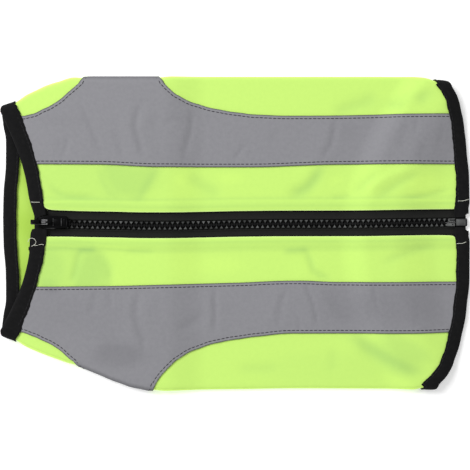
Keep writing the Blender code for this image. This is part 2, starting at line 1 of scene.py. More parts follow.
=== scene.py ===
"""Reflective dog jacket in neon cloth, with grey reflective panels and a black zip down its back.

It is zipped up and laid flat with its back on top. Sizes are in millimetres. x runs along the zip
from the neck to the hem, w and y run across it to the wearer's right, and h is a height out from
the cloth. place() turns them into metres in the jacket's own frame.
"""

import functools
import math

import bmesh
import bpy
from mathutils import Matrix, Vector
from mathutils.kdtree import KDTree


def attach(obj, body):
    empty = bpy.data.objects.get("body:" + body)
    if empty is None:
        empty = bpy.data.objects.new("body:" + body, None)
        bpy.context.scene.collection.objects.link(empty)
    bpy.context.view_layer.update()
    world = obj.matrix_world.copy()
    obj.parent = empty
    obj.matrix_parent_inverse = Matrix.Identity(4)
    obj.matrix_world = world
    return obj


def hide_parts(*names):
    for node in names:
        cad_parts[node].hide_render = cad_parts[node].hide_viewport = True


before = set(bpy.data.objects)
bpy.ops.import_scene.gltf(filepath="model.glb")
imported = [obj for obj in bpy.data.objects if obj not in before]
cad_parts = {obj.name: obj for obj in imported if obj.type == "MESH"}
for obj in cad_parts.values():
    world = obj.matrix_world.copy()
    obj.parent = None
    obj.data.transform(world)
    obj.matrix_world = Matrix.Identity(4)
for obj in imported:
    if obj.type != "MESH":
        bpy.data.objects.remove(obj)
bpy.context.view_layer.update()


# Camera, table and light
# The jacket lies on a white light table and is seen from straight above, through a long lens. One
# broad soft light stands beyond the neck on the wearer's right. The white room fills the shadows.
MM = 0.001
LENS = 80.0
SENSOR = 36.0
VIEW_WIDTH = 286.7
VIEW_HEIGHT = 3.0
VIEW_CENTRE = (-0.27, -0.8)
TABLE_SIDE = 3000.0
TABLE_UNDER = 0.08
LIGHT_PLACE = (-1560.0, 1120.0, 1700.0)
LIGHT_SIDE = 1300.0
LIGHT_WATTS = 53.0
ROOM_LIGHT = 0.55
TABLE_GLOW = 0.30

bpy.context.scene.view_settings.view_transform = "Standard"


def add_object(name, data):
    """A new object in the scene."""
    obj = bpy.data.objects.new(name, data)
    bpy.context.scene.collection.objects.link(obj)
    return obj


camera_data = bpy.data.cameras.new("camera")
camera_data.lens = LENS
camera_data.sensor_width = SENSOR
camera = add_object("camera", camera_data)
camera_height = VIEW_WIDTH * LENS / SENSOR + VIEW_HEIGHT
camera.location = Vector((*VIEW_CENTRE, camera_height)) * MM
bpy.context.scene.camera = camera

light_data = bpy.data.lights.new("soft_box", "AREA")
light_data.size = LIGHT_SIDE * MM
light_data.energy = LIGHT_WATTS
light = add_object("soft_box", light_data)
light.location = Vector(LIGHT_PLACE) * MM
light.rotation_euler = Vector(LIGHT_PLACE).to_track_quat("Z", "Y").to_euler()

room = bpy.data.worlds.new("white_room")
room.use_nodes = True
room.node_tree.nodes["Background"].inputs["Color"].default_value = (1.0, 1.0, 1.0, 1.0)
room.node_tree.nodes["Background"].inputs["Strength"].default_value = ROOM_LIGHT
bpy.context.scene.world = room


def new_material(name, roughness, specular, colour=(0.8, 0.8, 0.8)):
    """A material whose shader has its plain values set, and the node tree to go on with."""
    material = bpy.data.materials.new(name)
    material.use_nodes = True
    shader = material.node_tree.nodes["Principled BSDF"]
    shader.inputs["Base Color"].default_value = (*colour, 1.0)
    shader.inputs["Roughness"].default_value = roughness
    shader.inputs["Specular IOR Level"].default_value = specular
    return material, material.node_tree, shader


table_mesh = bpy.data.meshes.new("white_table")
table_bm = bmesh.new()
bmesh.ops.create_grid(table_bm, x_segments=1, y_segments=1, size=TABLE_SIDE * MM / 2)
bmesh.ops.translate(table_bm, verts=table_bm.verts[:], vec=(0, 0, -TABLE_UNDER * MM))
table_bm.to_mesh(table_mesh)
table_bm.free()
table_material, _, table_shader = new_material("white_table", 0.9, 0.1, (0.93, 0.93, 0.93))
table_shader.inputs["Emission Color"].default_value = (1.0, 1.0, 1.0, 1.0)
table_shader.inputs["Emission Strength"].default_value = TABLE_GLOW
table_mesh.materials.append(table_material)
add_object("white_table", table_mesh)


# Back panels
# Two cuts of thin neon knit, from the zip over the dog's side to the side seam underneath. The
# jacket is a tube of them and the belly panel, pressed flat, so a point of its cloth is named by
# x and by c round the tube: 0 at the zip, 1 to 2 round the right fold, 3 down the belly's middle,
# 4 to 5 round the left fold, and 6 at the zip again.
LENGTH = 286.2
WIDEST_RIGHT = 90.1
WIDEST_LEFT = 101.7
PANEL_OUT = 0.5
PANEL_IN = -0.1
CLOTH_EDGE = 1.3
SEAM_GAP = 0.15
TAPE_PROUD = 1.3
PATCH_PROUD = 0.7
LOWER_PLAIN = 0.5
LOWER_BOUND = 1.8
UPPER_PLAIN = 3.3
UPPER_BOUND = 6.0
FRONT_END = 100.0
FRONT_FADE = 25.0
HEM_BAND = 9.5
HEM_FADE = 18.5
DROOP_START = 4.0
DROOP_LENGTH = 30.0
FOLD_KEEP = 2.3
FLAT_BY_ZIP = 8.0
FLAT_BY_FOLD = 10.0
PROUD_FADE = 8.0
NECK_CORNER = 0.3
NECK_SCOOP = {1: 18.3, -1: 19.0}
HEM_TURN = 3.0
BELLY_END = 234.0
BINDING = 8.3
ZIP_SHOWS = {1: 8.1, -1: 7.6}
TURNED_EDGE = 7.4
TURNED_RISE = 0.45
TURNED_FADE = 2.4
TURNED_ROUND = 0.8
TURNED_LOWER = 0.6
COLUMN_STEP = 1.5
TOP_STEPS = 56
BEND_STEPS = 8
UNDER_STEPS = 30
UV_SCALE = 0.01


def table(columns, *rows):
    """A table with named columns, given a row at a time."""
    return dict(zip(columns.split(), zip(*rows)))


SECTIONS = table(
    "along right left zip belly",
    (0, 72.1, 68.2, 0, 50),
    (7.9, 74.8, 71.2, 0, 53),
    (18.9, 80.2, 76.2, 0, 60),
    (36, 87, 82.8, 0, 72),
    (48.2, 89.7, 87.1, -0.2, 75),
    (60.4, 90.1, 92, -0.4, 75),
    (72.6, 90.1, 96.9, -0.6, 75),
    (84.8, 90.1, 100.4, -0.9, 75),
    (94, 90.1, 101.6, -0.95, 75),
    (121.4, 90.1, 101.1, -0.6, 74),
    (152, 90.1, 100.7, 0, 73),
    (182.4, 90.1, 100.3, 0.2, 72),
    (212, 90.1, 100.4, 0.25, 71),
    (243.4, 90, 100.6, 0.65, 70),
    (265.4, 88.2, 101, 1, 68),
    (286.2, 85, 100, 1.2, 66),
)
NECK_UNDER = table(
    "share x",
    (0, 1.1),
    (0.25, 1.5),
    (0.5, 2.8),
    (0.7, 2.9),
    (0.85, 1.5),
    (1, NECK_CORNER),
)
HEM_SHORT = table(
    "share right left",
    (0, 0, 0),
    (0.3, 0.3, 0.1),
    (0.5, 1.6, 1.6),
    (0.7, 3.3, 4.9),
    (0.85, 5.9, 9.5),
    (0.93, 8, 13.3),
    (1, 11.4, 19.3),
)
FLARE = {1: (51.2, 96.2), -1: (48.2, 92.5)}

# Soft folds of the upper layer: the line that each one follows, and how wide and high it is.
FOLDS = table(
    "path width strength",
    (((83.6, 76), (84, 56), (88, 36), (98, 20)), 9, 0.4),
    (((115.3, 74), (112, 34)), 9, 0.35),
    (((204, 66), (197, 44), (186, 18)), 9, 0.4),
    (((184, -18), (190, -44), (193, -66)), 9, 0.4),
    (((206, -66), (232, -80), (256, -92)), 10, 0.5),
    (((176, -34), (167, -68)), 9, 0.35),
    (((222, 18), (236, 28), (262, 38)), 7, 0.35),
    (((86, -88), (84, -64), (88, -38)), 9, 0.45),
    (((128, -76), (131, -38)), 8, 0.35),
)
# Sharper creases across them. One with a strength below nothing is a trough.
CREASES = table(
    "path width strength",
    (((88.5, 76), (84.8, 70.9), (83, 66), (82.1, 58.7), (84.2, 51.4), (86.3, 44), (88.4, 36)), 1.9, -0.5),
    (((117.3, 73), (116.3, 64.8), (115.9, 57.5), (114.1, 50.1), (112.2, 44), (111.6, 36)), 1.8, -0.5),
    (((98.5, 59), (101.3, 61.7), (105.5, 64.2), (110.4, 62.9), (114.7, 58.3)), 1.5, -0.28),
    (((97, 67), (91.5, 57)), 2.2, -0.2),
    (((42, 54.5), (40.3, 46.5), (37.2, 38)), 1.1, -0.35),
    (((36.8, 53), (34.2, 40)), 1.4, -0.2),
    (((46, 75.5), (53.1, 64.8), (57.3, 55), (60.4, 45.3), (62.2, 36.5)), 2, -0.25),
    (((68.6, 60), (72.6, 50.1), (75.2, 38)), 1.8, -0.2),
    (((152.8, 49.8), (147, 45.9), (141, 37.5)), 0.9, -0.4),
    (((151.6, 46.9), (147.4, 43.7)), 0.9, 0.25),
    (((204.2, 66), (203.8, 60.5), (202.5, 54.4), (201.2, 48.3), (197.7, 43.2), (193.6, 37.5)), 1.6, -0.5),
    (((169.9, 59.5), (164.3, 47)), 2.4, -0.15),
    (((253.6, 66.5), (251.7, 54)), 1, -0.3),
    (((248.8, 64), (241.2, 44)), 3, -0.2),
    (((258.6, 50.5), (253.8, 37.5)), 2, -0.28),
    (((269.4, 64), (268.3, 54.4), (264.8, 44)), 1.8, -0.2),
    (((113, 32), (120.6, 25.3), (126.7, 21.3), (137, 16.2)), 4.2, -0.35),
    (((196, 37.5), (191.8, 28.2), (187.7, 23.1), (182.6, 20), (172.5, 16.8)), 3.6, -0.5),
    (((252, 35), (236.5, 29.2), (227.4, 23.1), (221, 17)), 2.6, 0.5),
    (((258, 33), (244.7, 26.1), (238.6, 22.1), (231.4, 17.5), (224.5, 16.6)), 2.4, -0.35),
    (((231, 33), (220.2, 23.1), (214, 18.2)), 2.4, -0.25),
    (((241, 16.2), (250.8, 16.2), (258.9, 17.5), (269.1, 20), (278, 22.8)), 1.5, -0.4),
    (((200.5, 16.4), (207, 16.3), (214.5, 18)), 1.2, -0.3),
    (((30, 27.5), (32.5, 21), (38.2, 17.4), (47.4, 16.3), (61, 16.3)), 1.8, -0.35),
    (((232, 81.5), (223.1, 74.5), (210.9, 70.4), (200, 67)), 4.2, -0.35),
    (((234, 72.8), (247.5, 72.2)), 2.6, -0.2),
    (((266.5, 86), (258.7, 79.6), (252.6, 72)), 4, -0.4),
    (((85.6, -36.5), (82.8, -49.3), (82.3, -55.4), (84.3, -63.5), (86.8, -69.6), (87.6, -82)), 2.3, -0.5),
    (((130, -36.5), (130.4, -49.3), (130.6, -56.4), (129.8, -69.5)), 1.5, -0.55),
    (((66.2, -39), (67.6, -51.5)), 1.1, -0.3),
    (((59, -39), (56.3, -50.3), (53.4, -57)), 1.9, -0.22),
    (((125.5, -52.5), (117.4, -59.5), (105.5, -64.6)), 2.6, -0.32),
    (((95, -43), (97.6, -58.5)), 2, -0.12),
    (((100, -58), (101.8, -79)), 1.6, -0.15),
    (((175.8, -36.5), (171.2, -47), (169.7, -54.2), (168.4, -66)), 2, -0.36),
    (((183.6, -33), (187.5, -42), (190, -48.1), (191.8, -55.2), (193.6, -66.5)), 1, -0.55),
    (((226.2, -34), (228.2, -48.1), (230.2, -59.5)), 1.1, -0.4),
    (((224.2, -43), (225.8, -59.5)), 1.5, -0.25),
    (((191, -37.5), (204.8, -57.2)), 1.6, 0.25),
    (((199, -38), (207, -52), (214.5, -66)), 4.2, -0.28),
    (((181.2, -56.5), (181.7, -66)), 0.9, -0.25),
    (((253.4, -44), (254.2, -64)), 1.6, -0.12),
    (((58, -74), (72, -77), (90, -80.5)), 7, -0.3),
    (((49.5, -14.6), (47.9, -18.4), (46.9, -24.5), (45.3, -30.6), (42.6, -37.5)), 1.9, -0.4),
    (((57, -14.8), (63.6, -21.4), (66.7, -26.5), (67.9, -37)), 2.6, -0.25),
    (((183.5, -13.8), (186.7, -18), (189.2, -23.1), (190.7, -28.2), (194.8, -31.2), (204, -34.5)), 2, -0.45),
    (((229.5, -25), (238.5, -21), (246.7, -18), (254.8, -15.4), (268, -13)), 2.6, -0.3),
    (((75, -16.5), (96, -16.9)), 2, -0.25),
    (
        ((212.5, -66), (223.1, -74.5), (233.2, -80.6), (243.4, -85.7), (254.6, -90.8), (260.5, -98.5)),
        4.6,
        -0.5,
    ),
    (((142, -88), (153.9, -88.3), (172, -88.5)), 3.2, -0.2),
    (((202.7, -74), (202.4, -92)), 3, -0.15),
)
# The same on the underside, where a crease can only rise from the table.
UNDER_CREASES = table(
    "path width strength",
    (((112, 60), (128, 22), (124, -20)), 5.5, 0.55),
    (((164, 66), (182, 30), (214, 8)), 4.2, 0.5),
    (((150, -12), (147, -40), (141, -62)), 4.4, 0.6),
    (((196, -30), (210, -72)), 3.6, 0.5),
    (((30, 12), (52, -14)), 4.6, 0.4),
    (((98, 8), (108, -46)), 6, 0.4),
    (((228, 40), (214, 70)), 4, 0.5),
    (((170, -64), (178, -40)), 3, 0.35),
)
# Painted shade in lines on the thin neon, where darker pieces lie under it and where it dips,
# and how dark it is.
NEON_SHADE_LINES = table(
    "path width strength",
    (((60, 37.5), (62.6, 25.3), (66.7, 19.2), (75, 15)), 2.2, 0.12),
    (((99, 39), (92.1, 27.4), (89.1, 22.3), (85, 16.6), (77, 14.6)), 2.6, 0.2),
    (((45.5, -17.5), (51, -15.8), (60, -15.6)), 2, 0.28),
    (((170.5, -16.6), (180, -16.2), (185, -15.6), (190, -16)), 1.8, 0.24),
    (((200, 40), (192, 28.5), (186, 21), (176, 17.5)), 3, 0.14),
    (((206, -62), (223.1, -74.5), (243.4, -85.7), (258, -92.5)), 4, 0.14),
)
# And painted shade in spots: the middle of each, its half lengths, its turn in degrees, how softly it
# ends, and how dark it is. One that is below nothing is a painted lighter patch.
NEON_SHADE_SPOTS = table(
    "x y long wide turn soft dark",
    (78.5, 38, 18, 25, 0, 0.3, 0.15),
    (56.5, -38, 13.5, 25, 0, 0.35, 0.17),
    (54, 26, 62, 20, 0, 0.6, 0.13),
    (40, -27, 34, 22, 0, 0.5, 0.15),
    (30, -28, 13, 18, 0, 0.6, 0.12),
    (29, -37, 9, 6, 0, 0.8, 0.12),
    (112, 24, 15, 20, 0, 1, -0.06),
    (112, -26, 15, 22, 0, 1, -0.08),
    (258, 24, 22, 16, 0, 1, -0.13),
    (252, -26, 18, 18, 0, 1, -0.10),
    (200, -88, 64, 14, 0, 0.6, 0.04),
    (244, -82, 24, 14, -20, 0.6, 0.05),
    (246, -75, 24, 8, -25, 0.6, 0.12),
    (240.4, 74, 26, 7, 10, 0.8, 0.06),
    (133, -25, 22, 9, 0, 0.8, -0.06),
    (140, 28, 13, 5.5, 0, 0.8, -0.06),
    (109, 27, 6, 5, 0, 0.8, -0.05),
    (256, 25.5, 13, 4, 8, 0.8, -0.06),
    (204, 26.5, 8, 4, 20, 0.8, -0.05),
    (240, -94.5, 15, 4, -14, 0.8, -0.05),
)
# Painted shade on the grey cloth, in a line and in spots, besides the painted shade where it turns
# away at the folds. A spot that is below nothing is painted lighter.
GREY_SHADE_LINES = table("path width strength", (((26, -40), (38, -39)), 2.2, 0.22))
GREY_SHADE_SPOTS = table(
    "x y long wide turn soft dark",
    (238, -50, 62, 20, 0, 0.8, 0.14),
    (72, -80, 22, 10, 0, 0.6, 0.18),
    (30, -52, 26, 22, 0, 0.8, 0.08),
    (270, -38, 15, 5, 0, 0.8, 0.12),
    (212, 57, 9, 8, 0, 0.8, 0.08),
    (119, 50, 13, 22, 0, 1, -0.06),
    (60, -56, 34, 22, 0, 0.8, 0.06),
    (38, 63, 22, 8, 0, 0.8, 0.05),
)
# Painted shade in lines along the turned edge by the zip, at a distance from it. One that is below
# nothing is a painted highlight.
TURNED_LINES = table("out wide dark", (7.4, 1.1, 0.10), (4.6, 3.4, 0.09), (5.6, 0.8, -0.06), (3.2, 0.9, 0.10))
# Painted shade: its base on each cloth, how much darker the troughs are painted, and how dark the grey is
# painted where it turns away. Then the neon's painted glow at the folds, and the painted shade on the belly
# inside the neck, with its streaks.
NEON_BASE = 0.12
TROUGH_DARK = 0.40
GREY_TROUGH_DARK = 0.28
GREY_BASE = 0.03
GREY_FOLD_DARK = 0.75
FOLD_LIT = {1: 0.35, -1: 1.0}
FOLD_FADE = 0.3
INSIDE_DARK = 0.62
INSIDE_STREAKS = 0.38
INSIDE_REACH = 20.0
LINE_END = 0.3
LINE_REACH = 2.5


def smooth(t):
    t = min(max(t, 0.0), 1.0)
    return t * t * (3 - 2 * t)


def within(at, low, high, fade):
    return smooth((at - low + fade) / fade) * smooth((high + fade - at) / fade)


def slope(xs, ys, i):
    """The slope of a curve through the points at the i-th one, level at a peak."""
    steps = [
        (ys[k + 1] - ys[k]) / (xs[k + 1] - xs[k])
        for k in (i - 1, i)
        if 0 <= k < len(xs) - 1
    ]
    if len(steps) == 1:
        return steps[0]
    if steps[0] * steps[1] <= 0:
        return 0.0
    return 2 * steps[0] * steps[1] / (steps[0] + steps[1])


def read(rows, column, at, key="along"):
    """A smooth curve through one column of a table."""
    xs = rows[key]
    ys = rows[column]
    at = min(max(at, xs[0]), xs[-1])
    i = max(k for k in range(len(xs) - 1) if xs[k] <= at)
    run = xs[i + 1] - xs[i]
    t = (at - xs[i]) / run
    start = ys[i] + t * run * slope(xs, ys, i)
    end = ys[i + 1] - (1 - t) * run * slope(xs, ys, i + 1)
    return start + (end - start) * smooth(t)


def side_name(side):
    return "right" if side > 0 else "left"


@functools.cache
def zip_line(x):
    return read(SECTIONS, "zip", x)


def hem_fold(side):
    return LENGTH - HEM_SHORT[side_name(side)][-1]


def proud(x, side):
    """How far binding or reflective cloth stands out past the neon at the fold."""
    front, back = FLARE[side]
    neck = within(x, 0, BINDING, PROUD_FADE)
    chest = within(x, front, back, PROUD_FADE)
    hem = smooth((x - hem_fold(side) + BINDING + PROUD_FADE) / PROUD_FADE)
    return max(TAPE_PROUD * neck, PATCH_PROUD * chest, TAPE_PROUD * hem)


@functools.cache
def fold_line(x, side):
    """Y of the middle of the wall where it turns under."""
    return side * (read(SECTIONS, side_name(side), x) - PANEL_OUT - proud(x, side))


@functools.cache
def belly_line(x):
    return fold_line(x, 1) + fold_line(x, -1) - zip_line(x)


def belly_hem(x, y):
    """X of the hem underneath, at the point of the belly below y."""
    side = 1 if y >= belly_line(x) else -1
    middle = belly_line(x)
    share = min(1.0, abs(y - middle) / abs(fold_line(x, side) - middle))
    return BELLY_END + (hem_fold(side) - HEM_TURN - BELLY_END) * share**2


def bound(x, y):
    """1 where bindings, patches or leg holes lie between the layers and the table, 0 where none do."""
    front = 1 - smooth((x - FRONT_END) / FRONT_FADE)
    hem = 1 - smooth((belly_hem(x, y) - x - HEM_BAND) / HEM_FADE)
    return max(front, hem)


def kept(x, y):
    """y, held just inside the folds."""
    low = fold_line(x, -1) + FOLD_KEEP
    high = fold_line(x, 1) - FOLD_KEEP
    return min(max(y, low), high)


def traced(rows):
    """A table's lines in steps, each line with the box that it reaches over, its length and its values."""
    lines = []
    for path, width, strength in zip(*rows.values()):
        reach = LINE_REACH * width
        xs = [x for x, y in path]
        ys = [y for x, y in path]
        box = (min(xs) - reach, max(xs) + reach, min(ys) - reach, max(ys) + reach)
        steps = []
        whole = 0.0
        for (from_x, from_y), (to_x, to_y) in zip(path, path[1:]):
            long = math.hypot(to_x - from_x, to_y - from_y)
            steps.append((from_x, from_y, to_x - from_x, to_y - from_y, whole, long))
            whole += long
        lines.append((box, steps, whole, width, strength))
    return lines


def marked(lines, x, y, highest=math.inf):
    """The strength of a table's lines at a point, which fades beside each one and towards its ends."""
    total = 0.0
    for (low_x, high_x, low_y, high_y), steps, whole, width, strength in lines:
        if strength > highest or not (low_x < x < high_x and low_y < y < high_y):
            continue
        nearest = math.inf
        for from_x, from_y, run_x, run_y, gone, long in steps:
            share = ((x - from_x) * run_x + (y - from_y) * run_y) / long**2
            share = min(max(share, 0.0), 1.0)
            off = math.hypot(x - from_x - share * run_x, y - from_y - share * run_y)
            if off < nearest:
                nearest = off
                along = gone + share * long
        ends = smooth(min(along, whole - along) / (LINE_END * whole))
        total += strength * ends * math.exp(-((nearest / width) ** 2))
    return total


FOLD_LINES = traced(FOLDS)
CREASE_LINES = traced(CREASES)
UNDER_LINES = traced(UNDER_CREASES)
NEON_LINES = traced(NEON_SHADE_LINES)
GREY_LINES = traced(GREY_SHADE_LINES)


def off_fold(x, y):
    """0 at the folds and 1 well inside them."""
    side = 1 if y >= 0 else -1
    return smooth((abs(fold_line(x, side) - y) - FOLD_KEEP) / FLAT_BY_FOLD)


@functools.cache
def lower_height(x, y):
    y = kept(x, y)
    laid = LOWER_PLAIN + (LOWER_BOUND - LOWER_PLAIN) * bound(x, y)
    return laid + marked(UNDER_LINES, x, y) * off_fold(x, y)


def flattened(x, y):
    """0 along the zip and the folds, which lie flat, and 1 between them."""
    return smooth((abs(y - zip_line(x)) - ZIP_SHOWS[1]) / FLAT_BY_ZIP) * off_fold(x, y)


@functools.cache
def upper_height(x, y):
    y = kept(x, y)
    laid = UPPER_PLAIN + (UPPER_BOUND - UPPER_PLAIN) * bound(x, y)
    droop = smooth((x - belly_hem(x, y) - DROOP_START) / DROOP_LENGTH)
    soft = (marked(FOLD_LINES, x, y) + marked(CREASE_LINES, x, y)) * flattened(x, y)
    return laid + (LOWER_BOUND - laid) * droop + soft


def half(c):
    """The side of the jacket that c is on, and c counted from the zip on that side."""
    return (1, c) if c <= 3 else (-1, 6 - c)


@functools.cache
def bend(x, side):
    """Where the fold begins, its radius, and the height of the wall below it."""
    edge = fold_line(x, side)
    low = lower_height(x, edge)
    radius = (upper_height(x, edge) - low) / 2
    return edge - side * radius, radius, low


def lay(x, c, h):
    """The point (x, c, h) of the laid jacket."""
    side, share = half(c)
    start, radius, low = bend(x, side)
    if share <= 1:
        y = zip_line(x) + (start - zip_line(x)) * share
        return x, y, upper_height(x, y) + h
    if share < 2:
        angle = (1.5 - share) * math.pi
        y = start + side * (radius + h) * math.cos(angle)
        return x, y, low + radius + (radius + h) * math.sin(angle)
    y = start + (belly_line(x) - start) * (share - 2)
    return x, y, lower_height(x, y) - h


def round_length(x, c, from_share=0):
    """How far the cloth runs round the tube to c, from the zip or from the belly's middle, at 3."""
    side, share = half(c)
    start, radius, _ = bend(x, side)
    length = 0.0
    for k, part in enumerate((abs(start - zip_line(x)), math.pi * radius, abs(belly_line(x) - start))):
        length += part * (min(max(share - k, 0), 1) - min(max(from_share - k, 0), 1))
    return side * length


def on_top(x, w, h):
    """A point w to the right of the zip, on the upper layer."""
    y = zip_line(x) + w
    return x, y, upper_height(x, y) + h


def c_on_top(x, out, side):
    """c of a point of the upper layer that lies that far out from the zip line's mean."""
    start = bend(x, side)[0]
    share = (side * out - zip_line(x)) / (start - zip_line(x))
    return share if side > 0 else 6 - share


def c_beside_zip(x, out, side):
    return c_on_top(x, out + side * zip_line(x), side)


def c_seam(x, side, past):
    """c of the side seam, or of a line that lies past it on the back panel's side."""
    y = belly_line(x) + side * (read(SECTIONS, "belly", x) + past)
    start = bend(x, side)[0]
    share = 2 + (y - start) / (belly_line(x) - start)
    return share if side > 0 else 6 - share


def neck_edge(c):
    """X of the neck edge, all round."""
    side, share = half(c)
    if share <= 1:
        return NECK_CORNER + NECK_SCOOP[side] * math.cos(math.pi / 2 * share)
    if share < 2:
        return NECK_CORNER
    return read(NECK_UNDER, "x", 3 - share, key="share")


def hem_edge(c):
    """X of the hem, all round."""
    side, share = half(c)
    if share <= 1:
        return LENGTH - read(HEM_SHORT, side_name(side), share, key="share")
    turned = hem_fold(side) - HEM_TURN
    if share < 2:
        return hem_fold(side) - HEM_TURN * (share - 1)
    return BELLY_END + (turned - BELLY_END) * (3 - share) ** 2


LEAN_STEP = 0.04
STEEPEST_LEAN = 1.35


@functools.cache
def lean(edge, c):
    """How much longer a step in from the edge is along x than straight in from the edge."""
    low = max(c - LEAN_STEP, 0.0)
    high = min(c + LEAN_STEP, 6.0)
    x = edge(c)
    gone = math.dist(lay(x, low, 0)[1:], lay(x, high, 0)[1:])
    return min(math.hypot(1, (edge(high) - edge(low)) / gone), STEEPEST_LEAN)


def neck_in(c, inset):
    return neck_edge(c) + inset * lean(neck_edge, c)


def hem_in(c, inset):
    return hem_edge(c) - inset * lean(hem_edge, c)


ROWS_RIGHT = [
    *[k / TOP_STEPS for k in range(1, TOP_STEPS)],
    *[1 + k / BEND_STEPS for k in range(BEND_STEPS + 1)],
    *[2 + k / UNDER_STEPS for k in range(1, UNDER_STEPS)],
]
ROWS = [*ROWS_RIGHT, 3.0, *[6 - c for c in reversed(ROWS_RIGHT)]]
COLUMNS = [COLUMN_STEP * k for k in range(1, math.ceil(LENGTH / COLUMN_STEP))]
NEXT_ROW = 0.006
NEXT_COLUMN = 0.5


def end_points(edge_in, inset, from_c, to_c):
    """Points (x, c) along the neck or hem, at every row between two values of c."""
    low = min(from_c, to_c)
    high = max(from_c, to_c)
    cs = [low, *[c for c in ROWS if low + NEXT_ROW < c < high - NEXT_ROW], high]
    if from_c > to_c:
        cs.reverse()
    return [(edge_in(c, inset), c) for c in cs]


def long_points(line, start, end):
    """Points (x, c) along a line that runs the length of the jacket, at every column."""
    low = min(start, end)
    high = max(start, end)
    xs = [low, *[x for x in COLUMNS if low + NEXT_COLUMN < x < high - NEXT_COLUMN], high]
    if start > end:
        xs.reverse()
    return [(x, line(x)) for x in xs]


NECK_GUESS = 15.0
HEM_GUESS = 265.0


def meets(line, edge_in, inset):
    """X where a line along the jacket meets the neck or the hem."""
    x = NECK_GUESS if edge_in is neck_in else HEM_GUESS
    for _ in range(8):
        x = edge_in(line(x), inset)
    return x


def outline_between(first, second, inset):
    """The outline of a piece between two long lines, from neck to hem."""
    starts = [meets(line, neck_in, inset) for line in (first, second)]
    ends = [meets(line, hem_in, inset) for line in (first, second)]
    neck = end_points(neck_in, inset, second(starts[1]), first(starts[0]))
    hem = end_points(hem_in, inset, first(ends[0]), second(ends[1]))
    going = long_points(first, starts[0], ends[0])
    coming = long_points(second, ends[1], starts[1])
    return neck[:-1] + going[:-1] + hem[:-1] + coming[:-1]


def toned(base, spots, lines, trough_dark, x, c):
    """How much painted shade the upper cloth has at a point, from its painted marks and from the troughs that
    it lies in.
    """
    y = lay(x, c, 0)[1]
    light = (1 - base) * (1 - marked(lines, x, y))
    light *= 1 + trough_dark * marked(CREASE_LINES, x, y, highest=0.0) * flattened(x, y)
    for spot_x, spot_y, long, wide, turn, soft, dark in zip(*spots.values()):
        turned = math.radians(turn)
        along = (x - spot_x) * math.cos(turned) + (y - spot_y) * math.sin(turned)
        aside = (y - spot_y) * math.cos(turned) - (x - spot_x) * math.sin(turned)
        light *= 1 - dark * smooth((1 - math.hypot(along / long, aside / wide)) / soft)
    return 1 - light


def round_fold(share, begins):
    """1 round the fold, and 0 before the share where it begins and where the fold has turned under."""
    return smooth((share - begins) / FOLD_FADE) * smooth((2 - share) / FOLD_FADE)


def neon_tone(x, c, h):
    """The neon's painted shade, which is below nothing where a painted glow stands for light coming through
    it at the folds.
    """
    side, share = half(c)
    if share > 1:
        return NEON_BASE - (1 + NEON_BASE) * FOLD_LIT[side] * round_fold(share, 1.1)
    tone = toned(NEON_BASE, NEON_SHADE_SPOTS, NEON_LINES, TROUGH_DARK, x, c)
    out = abs(lay(x, c, 0)[1] - zip_line(x)) - ZIP_SHOWS[side]
    for at, wide, dark in zip(*TURNED_LINES.values()):
        tone += dark * math.exp(-(((out - at) / wide) ** 2))
    return max(tone, 0.0)


def inside_tone(x, c, h):
    """Painted shade on the belly inside the neck, where the back lies over it, with soft streaks in it."""
    if h > 0:
        return 0.0
    y = lay(x, c, 0)[1]
    streaks = 0.5 + 0.3 * math.sin(0.21 * y + 0.11 * x) + 0.2 * math.sin(0.093 * y - 0.35 * x + 1)
    return (INSIDE_DARK + INSIDE_STREAKS * streaks) * (1 - smooth((x - INSIDE_REACH) / INSIDE_REACH))


def grey_tone(x, c, h):
    """The grey's painted shade, dark where it turns away at the folds."""
    share = half(c)[1]
    if share > 1:
        return GREY_FOLD_DARK * round_fold(share, 1)
    return max(toned(GREY_BASE, GREY_SHADE_SPOTS, GREY_LINES, GREY_TROUGH_DARK, x, c), 0.0)


def cut_flat(outline):
    """A flat piece of cloth cut to its outline in x and c, creased at each line where it can bend."""
    bm = bmesh.new()
    bm.faces.new([bm.verts.new((x, c, 0)) for x, c in outline])
    xs = [x for x, c in outline]
    cs = [c for x, c in outline]
    lines = [((x, 0, 0), (1, 0, 0)) for x in COLUMNS if min(xs) < x < max(xs)]
    lines += [((0, c, 0), (0, 1, 0)) for c in ROWS if min(cs) < c < max(cs)]
    for at, across in lines:
        everything = bm.verts[:] + bm.edges[:] + bm.faces[:]
        bmesh.ops.bisect_plane(bm, geom=everything, dist=1e-5, plane_co=at, plane_no=across)
    return bm


def place(point):
    x, y, z = point
    return Vector((x - LENGTH / 2, y - (WIDEST_RIGHT - WIDEST_LEFT) / 2, z)) * MM


def piece(name, bm, material, crease=40, merge=0.05):
    """Turn a mesh in millimetres into a named object in metres."""
    for vert in bm.verts:
        vert.co = place(vert.co)
    bmesh.ops.remove_doubles(bm, verts=bm.verts[:], dist=merge * MM)
    bmesh.ops.recalc_face_normals(bm, faces=bm.faces[:])
    many = [face for face in bm.faces if len(face.verts) > 4]
    bmesh.ops.triangulate(bm, faces=many)
    mesh = bpy.data.meshes.new(name)
    bm.to_mesh(mesh)
    bm.free()
    mesh.shade_smooth()
    mesh.set_sharp_from_angle(angle=math.radians(crease))
    mesh.materials.append(material)
    return add_object(name, mesh)


def nearest_edge(outline):
    """A search tree of the points along a piece's cut edge, as it lies."""
    points = []
    for (x, c), (next_x, next_c) in zip(outline, outline[1:] + outline[:1]):
        for share in (0.0, 0.5):
            points.append(lay(x + share * (next_x - x), c + share * (next_c - c), 0))
    tree = KDTree(len(points))
    for k, point in enumerate(points):
        tree.insert(point, k)
    tree.balance()
    return tree


